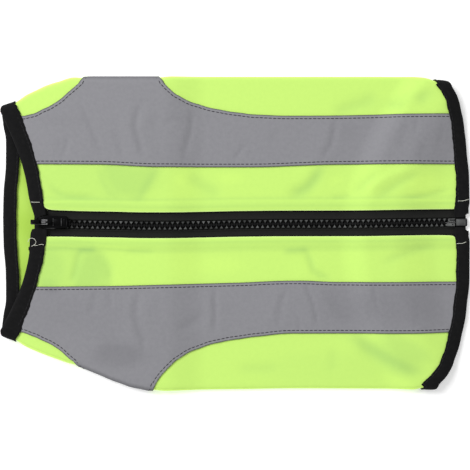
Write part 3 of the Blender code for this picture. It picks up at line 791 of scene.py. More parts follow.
def lay_cloth(name, bm, outline, low, high, material, tone, rise=None, from_share=0):
    """Give a flat piece its wall, its weave's map and its marks of painted shade and of nearness to its cut
    edge, and lay it on the jacket.
    """
    edges = nearest_edge(outline)
    raised = bmesh.ops.extrude_face_region(bm, geom=bm.faces[:])["geom"]
    for vert in bm.verts:
        vert.co.z = low
    for vert in raised:
        if isinstance(vert, bmesh.types.BMVert):
            vert.co.z = high
    weave_map = bm.loops.layers.uv.new("cloth")
    for face in bm.faces:
        for loop in face.loops:
            x, c, _ = loop.vert.co
            loop[weave_map].uv = (x * UV_SCALE, round_length(x, c, from_share) * UV_SCALE)
    shade = bm.verts.layers.float.new("shade")
    edge = bm.verts.layers.float.new("edge")
    for vert in bm.verts:
        x, c, h = vert.co
        vert[shade] = tone(x, c, h)
        vert[edge] = edges.find(lay(x, c, 0))[2]
        vert.co = lay(x, c, h + (rise(x, c, h) if rise else 0.0))
    return piece(name, bm, material)


def turned_edge(x, c, h):
    """The neon's edge is turned under along the zip, so it lies a little higher there."""
    side, share = half(c)
    if share > 1 or h < 0:
        return 0.0
    out = abs(lay(x, c, 0)[1] - zip_line(x)) - ZIP_SHOWS[side]
    rounded = 1 - smooth(1 - out / TURNED_ROUND) * TURNED_LOWER
    return TURNED_RISE * (1 - smooth((out - TURNED_EDGE + TURNED_FADE) / TURNED_FADE)) * rounded


# Where the neon draws back from the zip: how far, and over what length it fades.
ZIP_FLARE = {1: (25.8, ((3.8, 1.6), (0.9, 8.0))), -1: (277.6, ((1.6, 0.9), (0.5, 8.0)))}


def zip_side_flare(x, side):
    """The neon draws back from the zip near the neck on the right, and near the hem on the left."""
    begins, parts = ZIP_FLARE[side]
    past = max(side * (x - begins), 0.0)
    return sum(size * math.exp(-past / fade) for size, fade in parts)


def node_link(tree, source, output, target, socket):
    tree.links.new(source.outputs[output], target.inputs[socket])


def node(tree, kind, **values):
    made = tree.nodes.new(kind)
    for name, value in values.items():
        setattr(made, name, value)
    return made


def attribute(tree, name):
    """A mark that the mesh carries at its points."""
    return node(tree, "ShaderNodeAttribute", attribute_name=name).outputs["Fac"]


def noise(tree, vector, **values):
    """A noise texture over a vector, with its sockets' values."""
    made = node(tree, "ShaderNodeTexNoise", noise_dimensions="3D")
    for name, value in values.items():
        made.inputs[name.capitalize()].default_value = value
    tree.links.new(vector, made.inputs["Vector"])
    return made


def node_group(name, numbers_in, numbers_out):
    """A node group that takes a vector and some numbers and gives numbers."""
    group = bpy.data.node_groups.new(name, "ShaderNodeTree")
    group.interface.new_socket(name="Vector", in_out="INPUT", socket_type="NodeSocketVector")
    for way, numbers in (("INPUT", numbers_in), ("OUTPUT", numbers_out)):
        for number in numbers.split():
            group.interface.new_socket(name=number, in_out=way, socket_type="NodeSocketFloat")
    return group, node(group, "NodeGroupInput"), node(group, "NodeGroupOutput")


def math_node(tree, operation, first, second=None):
    """A Math node, given a socket or a number for each input."""
    made = node(tree, "ShaderNodeMath", operation=operation)
    for k, value in enumerate((first, second)):
        if isinstance(value, bpy.types.NodeSocket):
            tree.links.new(value, made.inputs[k])
        elif value is not None:
            made.inputs[k].default_value = value
    return made.outputs[0]


def weave_group():
    """Threads that cross over and under each other, uneven in thickness, for every cloth here."""
    group, start, end = node_group("weave", "Along Across Uneven", "Height Mottle")
    drift = noise(group, start.outputs["Vector"], scale=9.0, detail=3.0)
    mottle = noise(group, start.outputs["Vector"], scale=40.0, detail=5.0, roughness=0.65)
    parts = node(group, "ShaderNodeSeparateXYZ")
    node_link(group, start, "Vector", parts, "Vector")
    shift = math_node(group, "MULTIPLY", drift.outputs["Fac"], start.outputs["Uneven"])
    waves = []
    for axis, spacing in (("X", "Along"), ("Y", "Across")):
        shifted = math_node(group, "ADD", parts.outputs[axis], shift)
        waves.append(math_node(group, "SINE", math_node(group, "MULTIPLY", shifted, start.outputs[spacing])))
    height = math_node(group, "MULTIPLY_ADD", math_node(group, "MULTIPLY", *waves), 0.5)
    height.node.inputs[2].default_value = 0.5
    group.links.new(height, end.inputs["Height"])
    node_link(group, mottle, "Fac", end, "Mottle")
    return group


WEAVE = weave_group()


def place_weave(tree, along, across, uneven):
    """The weave group on a piece's own map, with its threads' spacing in millimetres."""
    mapped = node(tree, "ShaderNodeUVMap", uv_map="cloth")
    woven = node(tree, "ShaderNodeGroup", node_tree=WEAVE)
    woven.inputs["Along"].default_value = 2 * math.pi / (along * UV_SCALE)
    woven.inputs["Across"].default_value = 2 * math.pi / (across * UV_SCALE)
    woven.inputs["Uneven"].default_value = uneven
    node_link(tree, mapped, "UV", woven, "Vector")
    return woven


def bumped(tree, shader, height, strength, distance):
    """Feed a height to the shader's normal."""
    bump = node(tree, "ShaderNodeBump")
    bump.inputs["Strength"].default_value = strength
    bump.inputs["Distance"].default_value = distance * MM
    tree.links.new(height, bump.inputs["Height"])
    node_link(tree, bump, "Normal", shader, "Normal")


def blend_colours(tree, share, first, second):
    """A mix of two colours, each given as a socket or as its values."""
    mix = node(tree, "ShaderNodeMix", data_type="RGBA")
    tree.links.new(share, mix.inputs[0])
    for slot, colour in ((6, first), (7, second)):
        if isinstance(colour, bpy.types.NodeSocket):
            tree.links.new(colour, mix.inputs[slot])
        else:
            mix.inputs[slot].default_value = (*colour, 1.0)
    return mix.outputs[2]


def ranged(tree, value, low, high, from_low=0.0, from_high=1.0):
    """A value spread over another range."""
    spread = node(tree, "ShaderNodeMapRange")
    tree.links.new(value, spread.inputs["Value"])
    for name, number in (("From Min", from_low), ("From Max", from_high), ("To Min", low), ("To Max", high)):
        spread.inputs[name].default_value = number
    return spread.outputs["Result"]


def in_patches(tree, woven, low, high, first, second):
    """Two colours in soft patches, by the weave group's mottle."""
    return blend_colours(tree, ranged(tree, woven.outputs["Mottle"], 0.0, 1.0, low, high), first, second)


# Neon colours: two for random patches, then the painted shade, the painted shade inside the neck, the painted
# highlight along cut edges, and the painted glow at the folds.
NEON = (0.662, 0.980, 0.194)
NEON_DEEP = (0.632, 0.950, 0.184)
NEON_SHADOW = (0.190, 0.400, 0.140)
NEON_INSIDE_SHADE = (0.430, 0.690, 0.085)
NEON_EDGE_HIGHLIGHT = (0.780, 1.000, 0.420)
NEON_LIT = (0.240, 0.360, 0.075)
UNLIT = (0.0, 0.0, 0.0)


def neon_cloth(name, shadow):
    """Thin matt knit, with a faint nap, painted shade where darker things lie under it, a painted highlight
    along its cut edges and a painted glow at the folds.
    """
    material, tree, shader = new_material(name, 0.8, 0.18)
    woven = place_weave(tree, 0.72, 0.86, 0.02)
    shade = attribute(tree, "shade")
    mottled = in_patches(tree, woven, 0.3, 0.75, NEON, NEON_DEEP)
    shaded = blend_colours(tree, shade, mottled, shadow)
    # A painted highlight along the neon's cut edges.
    near_edge = ranged(tree, attribute(tree, "edge"), 0.55, 0.0, 0.1, 0.75)
    tree.links.new(blend_colours(tree, near_edge, shaded, NEON_EDGE_HIGHLIGHT), shader.inputs["Base Color"])
    # A painted glow where the shade mark is below nothing, at the folds.
    lit = blend_colours(tree, ranged(tree, shade, 1.0, 0.0, -1.0, 0.0), UNLIT, NEON_LIT)
    tree.links.new(lit, shader.inputs["Emission Color"])
    shader.inputs["Emission Strength"].default_value = 1.0
    tree.links.new(ranged(tree, woven.outputs["Height"], 0.9, 0.72), shader.inputs["Roughness"])
    shader.inputs["Sheen Weight"].default_value = 0.12
    shader.inputs["Sheen Roughness"].default_value = 0.5
    bumped(tree, shader, woven.outputs["Height"], 0.2, 0.1)
    return material


neon = neon_cloth("neon_cloth", NEON_SHADOW)


def seam_side(side, past):
    return lambda x: c_seam(x, side, past)


def zip_side(side):
    return lambda x: c_beside_zip(x, ZIP_SHOWS[side] + zip_side_flare(x, side), side)


def stands_for(obj, node_name, body="jacket"):
    """Put a piece in place of its node, on the body that carries it."""
    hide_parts(node_name)
    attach(obj, body)


for side in (1, -1):
    name = side_name(side)
    outline = outline_between(zip_side(side), seam_side(side, SEAM_GAP), CLOTH_EDGE)
    cut = cut_flat(outline)
    panel = lay_cloth(f"neon_back_{name}", cut, outline, PANEL_IN, PANEL_OUT, neon, neon_tone, turned_edge)
    stands_for(panel, f"back_{name}_panel")


# Reflective panels
# Grey reflective cloth sewn on top of the neon on each side. It runs from neck to hem and flares
# out round the fold at the chest. Its cut edge is held down by one dashed row of dark topstitch.
PATCH_IN = 0.62
PATCH_OUT = 1.2
PATCH_END = BINDING - 0.5
STITCH_INSET = 1.8
STITCH_STEP = 2.7
STITCH_LONG = 2.35
STITCH_WIDE = 0.55
STITCH_HIGH = 0.4
STITCH_SIDES = 6
GREY = (0.272, 0.270, 0.289)
GREY_WORN = (0.248, 0.246, 0.265)
GREY_SHADOW = (0.120, 0.120, 0.132)
GREY_EDGE = (0.075, 0.072, 0.082)
TOPSTITCH = (0.045, 0.040, 0.052)

PATCH_INNER = table(
    "along right left",
    (10, 36.4, 38),
    (60.4, 36.2, 37.6),
    (97, 34.7, 36.8),
    (146, 34.7, 35.6),
    (182.4, 35.6, 34.4),
    (206, 36.3, 35.2),
    (285, 36.7, 35),
)
PATCH_NECK_SIDE = table(
    "along right left",
    (0, 65, 63.5),
    (11.6, 65.4, 65.1),
    (18.9, 66.5, 67.4),
    (26.2, 69.6, 70.6),
    (33.6, 73.4, 74.4),
    (42, 80.2, 81.3),
    (48, 85.4, 86.6),
    (53, 90, 91.6),
)
PATCH_HEM_SIDE = table(
    "along right left",
    (94, 92, 98.2),
    (97, 88.6, 93.3),
    (100, 85.3, 89.7),
    (103.1, 82.1, 86.5),
    (109.2, 77.7, 81.4),
    (121.4, 72.7, 75.5),
    (133.6, 69.7, 71.9),
    (145.8, 67.8, 69.8),
    (158, 66.6, 68.2),
    (182.4, 66, 66.5),
    (243.4, 66.9, 66.4),
    (285, 67.3, 65.6),
)
# The flare's edges round the fold, at a share of the way round. The last is at the side seam.
FLARE_EDGES = table(
    "share right_front right_back left_front left_back",
    (1, 48.7, 99.1, 44.5, 94.1),
    (1.25, 50.3, 97.1, 46.6, 93.3),
    (1.5, 51.2, 96.2, 48.2, 92.5),
    (2, 54, 93.4, 50.6, 90.2),
    (3, 62, 88, 57, 85),
)
FLARE_JOIN = 0.6
FLARE_LEANS = 1.3


def patch_line(rows, side, inset=0.0):
    """A long edge of the patch, or a line set in from it towards the patch's middle."""
    column = side_name(side)
    inward = 1 if rows is PATCH_INNER else -1

    def line(x):
        leaning = math.hypot(1, read(rows, column, x + 1) - read(rows, column, x))
        return c_on_top(x, read(rows, column, x) + inward * inset * leaning, side)

    return line


def flare_edge(side, end, inset=0.0):
    """The flare's edge from the fold to the side seam, at the neck's end of it or the hem's."""
    aside = inset * FLARE_LEANS * (1 if end == "front" else -1)
    xs = [x + aside for x in FLARE_EDGES[f"{side_name(side)}_{end}"]]
    turned = [(x, share if side > 0 else 6 - share) for x, share in zip(xs[:-1], FLARE_EDGES["share"])]
    return [*turned, (xs[-1], c_seam(xs[-1], side, SEAM_GAP))]


def patch_outline(side):
    inner = patch_line(PATCH_INNER, side)
    neck_side = patch_line(PATCH_NECK_SIDE, side)
    hem_side = patch_line(PATCH_HEM_SIDE, side)
    starts = [meets(line, neck_in, PATCH_END) for line in (neck_side, inner)]
    ends = [meets(line, hem_in, PATCH_END) for line in (inner, hem_side)]
    front = flare_edge(side, "front")
    back = flare_edge(side, "back")
    under = [x for x in reversed(COLUMNS) if front[-1][0] + 1 < x < back[-1][0] - 1]
    return [
        *end_points(neck_in, PATCH_END, neck_side(starts[0]), inner(starts[1]))[:-1],
        *long_points(inner, starts[1], ends[0])[:-1],
        *end_points(hem_in, PATCH_END, inner(ends[0]), hem_side(ends[1]))[:-1],
        *long_points(hem_side, ends[1], back[0][0] + FLARE_JOIN),
        *back,
        *[(x, c_seam(x, side, SEAM_GAP)) for x in under],
        *reversed(front),
        *long_points(neck_side, front[0][0] - FLARE_JOIN, starts[0])[:-1],
    ]


def own_place(tree):
    """The place on the object itself, for a texture that stays with it."""
    return node(tree, "ShaderNodeTexCoord").outputs["Object"]


def reflective_cloth():
    """Glass-beaded grey cloth: a fine even grain over the weave, painted shade by its shade mark, and darker
    along its cut edge.
    """
    material, tree, shader = new_material("reflective_cloth", 0.5, 0.22)
    woven = place_weave(tree, 0.5, 0.5, 0.01)
    wear_and_glint = in_patches(tree, woven, 0.35, 0.7, GREY, GREY_WORN)
    # Painted shade, by the shade mark.
    toned_grey = blend_colours(tree, attribute(tree, "shade"), wear_and_glint, GREY_SHADOW)
    near_edge = ranged(tree, attribute(tree, "edge"), 1.0, 0.0, 0.15, 0.7)
    tree.links.new(blend_colours(tree, near_edge, toned_grey, GREY_EDGE), shader.inputs["Base Color"])
    tree.links.new(ranged(tree, woven.outputs["Mottle"], 0.62, 0.46, 0.3, 0.7), shader.inputs["Roughness"])
    beads = noise(tree, own_place(tree), scale=1500.0, detail=2.0)
    grain = math_node(tree, "ADD", beads.outputs["Fac"], woven.outputs["Height"])
    bumped(tree, shader, grain, 0.22, 0.1)
    return material


def thread_material(name, colour):
    """Twisted sewing thread: fine diagonal plies with painted shade between them, and a little shine."""
    material, tree, shader = new_material(name, 0.6, 0.25)
    plies = node(tree, "ShaderNodeTexWave", wave_type="BANDS", bands_direction="DIAGONAL")
    plies.inputs["Scale"].default_value = 900.0
    plies.inputs["Distortion"].default_value = 1.5
    tree.links.new(own_place(tree), plies.inputs["Vector"])
    # The plies' painted shade, in the grooves between them.
    dark = tuple(part * 0.6 for part in colour)
    shown = blend_colours(tree, plies.outputs["Fac"], dark, colour)
    tree.links.new(shown, shader.inputs["Base Color"])
    tree.links.new(ranged(tree, plies.outputs["Fac"], 0.75, 0.55), shader.inputs["Roughness"])
    bumped(tree, shader, plies.outputs["Fac"], 0.3, 0.1)
    return material


def on_cloth(points, h):
    """Places along a line of the cloth, each with the way out from it."""
    places = []
    for x, c in points:
        low = Vector(lay(x, c, h))
        places.append((low, (Vector(lay(x, c, h + 1)) - low).normalized()))
    return places


def stitch_row(bm, places, step=STITCH_STEP, long=STITCH_LONG, wide=STITCH_WIDE, high=STITCH_HIGH):
    """Sew short threads along a line, each one laid along the cloth and dipping in at its ends."""
    gone = 0.0
    due = step / 2
    for (start, out), (end, _) in zip(places, places[1:]):
        run = end - start
        while run.length > 0 and due <= gone + run.length:
            along = run.normalized()
            across = out.cross(along).normalized()
            up = along.cross(across)
            turn = Matrix((along, across, up)).transposed().to_4x4()
            size = Matrix.Diagonal((long / 2, wide / 2, high / 2, 1))
            seat = Matrix.Translation(start + along * (due - gone)) @ turn @ size
            seat = seat @ Matrix.Rotation(math.pi / 2, 4, "Y")
            bmesh.ops.create_uvsphere(
                bm, u_segments=STITCH_SIDES, v_segments=STITCH_SIDES, radius=1, matrix=seat
            )
            due += step
        gone += run.length


def sewn(name, rows, material, on, **sizes):
    """Rows of stitches as one piece, riding on the cloth that they hold."""
    bm = bmesh.new()
    for places in rows:
        stitch_row(bm, places, **sizes)
    stitches = piece(name, bm, material, crease=80, merge=0.001)
    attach(stitches, "jacket")


grey = reflective_cloth()
dark_thread = thread_material("dark_thread", TOPSTITCH)
for side in (1, -1):
    name = side_name(side)
    outline = patch_outline(side)
    patch = lay_cloth(f"grey_patch_{name}", cut_flat(outline), outline, PATCH_IN, PATCH_OUT, grey, grey_tone)
    stands_for(patch, f"reflective_{name}")
    inner = patch_line(PATCH_INNER, side, STITCH_INSET)
    neck_side = patch_line(PATCH_NECK_SIDE, side, STITCH_INSET)
    hem_side = patch_line(PATCH_HEM_SIDE, side, STITCH_INSET)
    front = flare_edge(side, "front", STITCH_INSET)
    back = flare_edge(side, "back", STITCH_INSET)
    neck_start = meets(neck_side, neck_in, BINDING)
    hem_start = meets(hem_side, hem_in, BINDING)
    paths = [
        long_points(inner, meets(inner, neck_in, BINDING), meets(inner, hem_in, BINDING)),
        [*long_points(neck_side, neck_start, front[0][0] - FLARE_JOIN), *front],
        [*long_points(hem_side, hem_start, back[0][0] + FLARE_JOIN), *back],
    ]
    rows = [on_cloth(path, PATCH_OUT) for path in paths]
    sewn(f"patch_stitches_{name}", rows, dark_thread, "reflective_cloth")


# Belly panel
# Neon knit between the two side seams, with a hole for each front leg, and shorter than the back
# so that it stays clear of the dog's rear. It faces the table, and shows inside the neck.
LEG_ALONG = 67.7
LEG_APART = 46.0
LEG_LONG = 18.0
LEG_WIDE = 20.0
HOLE_HIDDEN = 3.0
SEAM_STITCH_INSET = 1.6
SEAM_STITCH_START = 3.0
SEAM_STITCH_SUNK = 0.1
FINE_STITCH = {"wide": 0.4, "high": 0.25}
NEON_THREAD = (0.42, 0.66, 0.10)


def from_leg(x, y):
    """How far a point of the belly lies from the nearer leg hole's edge, below nothing inside it."""
    side = 1 if y >= belly_line(x) else -1
    along = x - LEG_ALONG
    across = y - belly_line(x) - side * LEG_APART
    turn = math.atan2(across / LEG_WIDE, along / LEG_LONG)
    rim = math.hypot(LEG_LONG * math.cos(turn), LEG_WIDE * math.sin(turn))
    return math.hypot(along, across) - rim


def cut_leg_holes(bm):
    """Cut the holes out a little wide, because their binding covers the edge."""
    inside = [
        face
        for face in bm.faces
        if all(from_leg(*lay(vert.co.x, vert.co.y, 0)[:2]) < HOLE_HIDDEN for vert in face.verts)
    ]
    bmesh.ops.delete(bm, geom=inside, context="FACES")


belly_outline = outline_between(seam_side(1, -SEAM_GAP), seam_side(-1, -SEAM_GAP), CLOTH_EDGE)
belly_bm = cut_flat(belly_outline)
cut_leg_holes(belly_bm)
inside_neon = neon_cloth("neon_belly_cloth", NEON_INSIDE_SHADE)
belly = lay_cloth(
    "neon_belly", belly_bm, belly_outline, PANEL_IN, PANEL_OUT, inside_neon, inside_tone, from_share=3
)
stands_for(belly, "belly_panel")

neon_thread = thread_material("neon_thread", NEON_THREAD)
seam_rows = []
for side in (1, -1):
    for past in (SEAM_STITCH_INSET, -SEAM_STITCH_INSET):
        line = seam_side(side, past)
        path = long_points(line, BINDING + SEAM_STITCH_START, meets(line, hem_in, BINDING))
        seam_rows.append(on_cloth(path, PANEL_OUT - SEAM_STITCH_SUNK))
sewn("side_seam_stitches", seam_rows, neon_thread, "neon_cloth", **FINE_STITCH)


# Bindings
# Black tape folded in half over the raw edges: round the neck, round the hem of back and belly,
# and round each leg hole. Its two sides are sewn down together near their inner edges.
BINDING_OUT = 1.75
BINDING_LOW = 0.8
BINDING_FROM_ZIP = 5.2
BINDING_STITCH = BINDING - 1.2
STITCHED_HIGH = 1.45
BLACK = (0.0048, 0.0048, 0.0052)
BLACK_DUSTY = (0.0085, 0.0083, 0.0086)
FOLDED_TAPE = [
    (BINDING, BINDING_LOW),
    (BINDING, 1.35),
    (BINDING - 0.4, 1.62),
    (BINDING_STITCH, STITCHED_HIGH),
    (BINDING - 2.3, 1.66),
    (3.6, BINDING_OUT),
    (1.6, 1.68),
    (0.55, 1.35),
    (0.1, 0.7),
    (0, 0),
]
FOLDED_TAPE += [(inset, -h) for inset, h in reversed(FOLDED_TAPE[:-1])]
FOLDED_TAPE += [(1.0, -BINDING_LOW), (1.0, BINDING_LOW)]
OVERLAP_OUT = (13.8, 15.8)
OVERLAP_PAST = 0.6
OVERLAP_STEP = 0.25
OVERLAP_FADE = 0.3
OVERLAP_INSET = 1.2
PUCKER = 0.08
STRAYS_UNDER = 0.7
AT_END = 1e-4
# Near the zip the upper half runs on over the tape, round the slider, and its corner is drawn in.
FLAP_FROM_ZIP = 2.95
FLAP_CLEAR = 0.35
FLAP_GROWS = 1.2
PULL_ALONG = 29.0
SLIDER_ASIDE = 1.2
SLIDER_PLATE = table(
    "along half",
    (23.8, 2.3),
    (24.4, 2.9),
    (25.6, 3.4),
    (27.2, 3.85),
    (28.8, 4.05),
    (31, 4),
    (33.5, 3.9),
    (37, 3.8),
    (40.3, 3.6),
    (41.1, 3.3),
    (41.5, 2.7),
)
NECK_WIDER = table(
    "share right left",
    (0, 1.3, 1.2),
    (0.1, 1.3, 1.1),
    (0.16, 0.3, 1),
    (0.3, 0.2, 0.5),
    (0.5, 0.1, 0),
    (0.8, 0.2, 0.2),
    (0.93, 0.9, 1.1),
    (1, 0.9, 1.2),
)
HEM_WIDER = table(
    "share right left",
    (0, 1.5, 0.9),
    (0.1, 1.3, 0.6),
    (0.14, 1, 0.1),
    (0.18, 0.3, 0),
    (0.25, 0, 0),
    (1, 0, 0),
)
NECK_DRAWN_IN = table(
    "out right left",
    (3, 2.6, 0.3),
    (5, 2.4, -0.3),
    (7.2, 1.9, -0.5),
    (10, 1.2, -0.6),
    (13.1, 0.5, -0.4),
    (17.5, 0, 0),
)
HEM_DRAWN_IN = table(
    "out right left",
    (3, 0.6, 0.6),
    (8.5, 0.6, 0.6),
    (11, 0, 0),
)


def uneven(c):
    """How far the tape strays as it is sewn on by eye."""
    return 0.16 * math.sin(31 * c + 1) + 0.12 * math.sin(83 * c) + 0.07 * math.sin(171 * c + 2)


def by_inner_edge(inset):
    """0 on most of a binding, and 1 by its inner edge."""
    return smooth((inset - 5) / 2)


def by_outer_edge(inset):
    """1 at a binding's outer edge, fading to 0 by its inner edge."""
    return 1 - smooth((inset - 1) / 8)


def black_tape(name, along, across, colour, dusty):
    """Matt woven tape, with short ribs across it and a little dust and lint."""
    material, tree, shader = new_material(name, 0.85, 0.12)
    woven = place_weave(tree, along, across, 0.008)
    tree.links.new(in_patches(tree, woven, 0.4, 0.75, colour, dusty), shader.inputs["Base Color"])
    tree.links.new(ranged(tree, woven.outputs["Height"], 0.92, 0.74), shader.inputs["Roughness"])
    shader.inputs["Sheen Weight"].default_value = 0.02
    bumped(tree, shader, woven.outputs["Height"], 0.3, 0.12)
    return material


def carry(section, stations):
    """A closed section at the first station, extruded on to each of the others."""
    bm = bmesh.new()
    face = bm.faces.new([bm.verts.new((inset, stations[0], h)) for inset, h in section])
    for k, station in enumerate(stations[1:]):
        passed = face
        grown = bmesh.ops.extrude_face_region(bm, geom=[face])["geom"]
        face = next(part for part in grown if isinstance(part, bmesh.types.BMFace))
        for vert in face.verts:
            vert.co.y = station
        if k:
            bmesh.ops.delete(bm, geom=[passed], context="FACES_ONLY")
    return bm


def map_weave(bm, along, across):
    """Lay the weave's map over a piece before it is bent: along it, and across its section."""
    weave_map = bm.loops.layers.uv.new("cloth")
    for face in bm.faces:
        for loop in face.loops:
            loop[weave_map].uv = (along(loop.vert.co) * UV_SCALE, across(loop.vert.co) * UV_SCALE)


def flap_reach(x, side):
    """How near the zip line the binding's upper half ends, clear of the slider."""
    if x > SLIDER_PLATE["along"][-1]:
        return FLAP_FROM_ZIP
    past = read(SLIDER_PLATE, "half", x) + side * SLIDER_ASIDE + FLAP_CLEAR
    return max(FLAP_FROM_ZIP, past * smooth((x - SLIDER_PLATE["along"][0] + 0.6) / 0.4))


def binding(name, bm, node_name, rows):
    """A finished binding in place of its node, with its two rows of stitches."""
    tape = piece(name, bm, binding_tape, crease=50)
    stands_for(tape, node_name)
    sewn(f"{name}_stitches", rows, black_thread, "black_binding", **FINE_STITCH)


def bound_edge(name, edge_in, node_name, wider, drawn_in, flap_begins, overlap=False):
    """Fold tape over an edge of the tube, from one side of the zip all round to the other."""
    first = c_beside_zip(edge_in(0.0, 0.0), BINDING_FROM_ZIP, 1)
    last = c_beside_zip(edge_in(6.0, 0.0), BINDING_FROM_ZIP, -1)
    cs = [first, *[c for c in ROWS if first < c < last], last]
    x = edge_in(last, 0.0)
    if overlap:
        steps = (-OVERLAP_STEP, OVERLAP_STEP)
        cs = sorted([*cs, *[c_beside_zip(x, out + step, -1) for out in OVERLAP_OUT for step in steps]])
    bm = carry(FOLDED_TAPE, cs)
    map_weave(bm, lambda co: round_length(x, co.y, 3), lambda co: co.x + 2 * co.z)
    for vert in bm.verts:
        inset, c, h = vert.co
        out = abs(lay(edge_in(c, inset), c, h)[1] - zip_line(x))
        if overlap and c > 4 and inset < OVERLAP_INSET:
            inset -= OVERLAP_PAST * within(out, *OVERLAP_OUT, OVERLAP_FADE)
        side, share = half(c)
        if share < 1.5:
            if h > 0:
                inset += read(wider, side_name(side), min(share, 1), "share") * by_inner_edge(inset)
            inset += read(drawn_in, side_name(side), out, "out") * by_outer_edge(inset)
        inset += uneven(c) * by_inner_edge(inset) * (1 if h > 0 else STRAYS_UNDER)
        at = edge_in(c, inset)
        if min(c - first, last - c) < AT_END and h > 0.5:
            begun = smooth((vert.co.x - flap_begins) / FLAP_GROWS)
            reach = BINDING_FROM_ZIP + (flap_reach(at, side) - BINDING_FROM_ZIP) * begun
            c = c_beside_zip(at, reach, side)
        h += PUCKER * uneven(c * 0.7 + 2) * (1 if h > 0 else -1)
        vert.co = lay(at, c, h)
    edge = [Vector(lay(edge_in(c, 1.0), c, 0)) for c in cs]
    path = [(edge_in(c, BINDING_STITCH), c) for c in cs]
    rows = [on_cloth(path, STITCHED_HIGH), on_cloth(path, -STITCHED_HIGH)]
    binding(name, bm, node_name, rows)


binding_tape = black_tape("binding_tape", 0.62, 1.1, BLACK, BLACK_DUSTY)
black_thread = thread_material("black_thread", (0.016, 0.016, 0.018))
bound_edge("neck_edge_tape", neck_in, "neck_binding", NECK_WIDER, NECK_DRAWN_IN, 0.0, overlap=True)
bound_edge("hem_edge_tape", hem_in, "hem_binding", HEM_WIDER, HEM_DRAWN_IN, 2.6)

LEG_STEPS = 72
SPUN_RADIUS = 100.0


def leg_point(side, turn, inset, h):
    """A point in from a leg hole's edge, a turn round it."""
    x = LEG_ALONG + (LEG_LONG + inset) * math.cos(turn)
    middle = belly_line(x) + side * LEG_APART
    return x, middle + (LEG_WIDE + inset) * math.sin(turn), LOWER_BOUND - h


for side in (1, -1):
    name = f"leg_edge_tape_{side_name(side)}"
    bm = bmesh.new()
    ring = [bm.verts.new((SPUN_RADIUS + inset, 0, h)) for inset, h in FOLDED_TAPE]
    edges = [bm.edges.new((ring[k - 1], ring[k])) for k in range(len(ring))]
    bmesh.ops.spin(
        bm, geom=ring + edges, cent=(0, 0, 0), axis=(0, 0, 1), angle=2 * math.pi,
        steps=LEG_STEPS, use_merge=True,
    )
    map_weave(
        bm,
        lambda co: math.atan2(co.y, co.x) * LEG_LONG,
        lambda co: math.hypot(co.x, co.y) - SPUN_RADIUS + 2 * co.z,
    )
    for vert in bm.verts:
        turn = math.atan2(vert.co.y, vert.co.x)
        inset = math.hypot(vert.co.x, vert.co.y) - SPUN_RADIUS
        strayed = uneven(turn / 2) * by_inner_edge(inset)
        vert.co = leg_point(side, turn, inset + strayed, vert.co.z)
    rows = []
    turns = [2 * math.pi * k / LEG_STEPS for k in range(LEG_STEPS + 1)]
    for h in (STITCHED_HIGH, -STITCHED_HIGH):
        out = Vector((0, 0, -1 if h > 0 else 1))
        rows.append([(Vector(leg_point(side, turn, BINDING_STITCH, h)), out) for turn in turns])
    edge = [Vector(leg_point(side, turn, 1.0, 0)) for turn in turns]
    binding(name, bm, f"leg_binding_{side_name(side)}", rows)


# Zip tapes
# Black woven tape, sewn under the turned edge of each back panel. A rib runs along its inner edge,
# where the teeth are moulded on, and its ends run on narrow between the bindings.
TAPE_HIDDEN = 5.6
TAPE_TONGUE = 4.7
TAPE_INNER = 2.75
TAPE_COLOUR = (0.0128, 0.0130, 0.0122)
TAPE_DUSTY = (0.0158, 0.0157, 0.0148)
TAPE_MEETS = 0.05
TAPE_PARTED = 2.2
TAPE_TOP = -1.0
TAPE_SECTION = [
    (TAPE_MEETS, -1.85),
    (TAPE_MEETS, -1.6),
    (2.5, -1.55),
    (TAPE_INNER - 0.15, -1.2),
    (TAPE_INNER, -0.6),
    (3.1, -0.38),
    (3.5, -0.42),
    (3.8, -0.85),
    (4.6, -1),
    (6.2, -1),
    (6.5, -0.86),
    (6.9, -0.86),
    (7.2, -1),
    (14, -1),
    (14, -1.6),
    (TAPE_INNER, -1.85),
]
TAPE_END = 2.2
# The tapes part under the slider and join again behind it: from x on, and over what length.
TAPE_PARTS = (23.3, 0.6)
TAPE_JOINS = (27.5, 4.5)
TAPE_STATIONS = (23.0, 23.6)


def tape_width(x, side):
    """How far the tape reaches out from the zip line."""
    wide = ZIP_SHOWS[side] + TAPE_HIDDEN
    in_neck = smooth((x - neck_edge(0.0 if side > 0 else 6.0) - BINDING - 0.2) / 0.6)
    in_hem = smooth((LENGTH - BINDING - 0.2 - x) / 0.6)
    return TAPE_TONGUE + (wide - TAPE_TONGUE) * min(in_neck, in_hem)


def tape_parts(x):
    """How far the tape's inner edge stands from the zip line: apart where the slider's wedge passes."""
    parted, joined = (smooth((x - begins) / fade) for begins, fade in (TAPE_PARTS, TAPE_JOINS))
    return TAPE_MEETS + (TAPE_PARTED - TAPE_MEETS) * parted * (1 - joined)


zip_tape = black_tape("zip_tape", 0.9, 0.55, TAPE_COLOUR, TAPE_DUSTY)
for side in (1, -1):
    name = side_name(side)
    low = neck_edge(0.0 if side > 0 else 6.0) + BINDING
    high = LENGTH - BINDING
    stations = [neck_edge(0.0) + TAPE_END, *TAPE_STATIONS, low, low + 0.5, low + 1]
    stations += [x for x in COLUMNS if low + 2 < x < high - 2]
    stations += [high - 1, high - 0.5, high, LENGTH - TAPE_END]
    bm = carry(TAPE_SECTION, stations)
    map_weave(bm, lambda co: co.y, lambda co: co.x)
    for vert in bm.verts:
        w, x, h = vert.co
        wide = tape_width(x, side)
        if w > wide:
            h = min(h, TAPE_TOP)
        vert.co = on_top(x, side * min(max(w, tape_parts(x)), wide), h)
        vert.co.z = max(vert.co.z, 0.0)
    tape = piece(f"woven_zip_tape_{name}", bm, zip_tape, crease=50)
    stands_for(tape, f"zip_tape_{name}")
    edge = [Vector(on_top(x, side * TAPE_INNER, 0)) for x in stations]


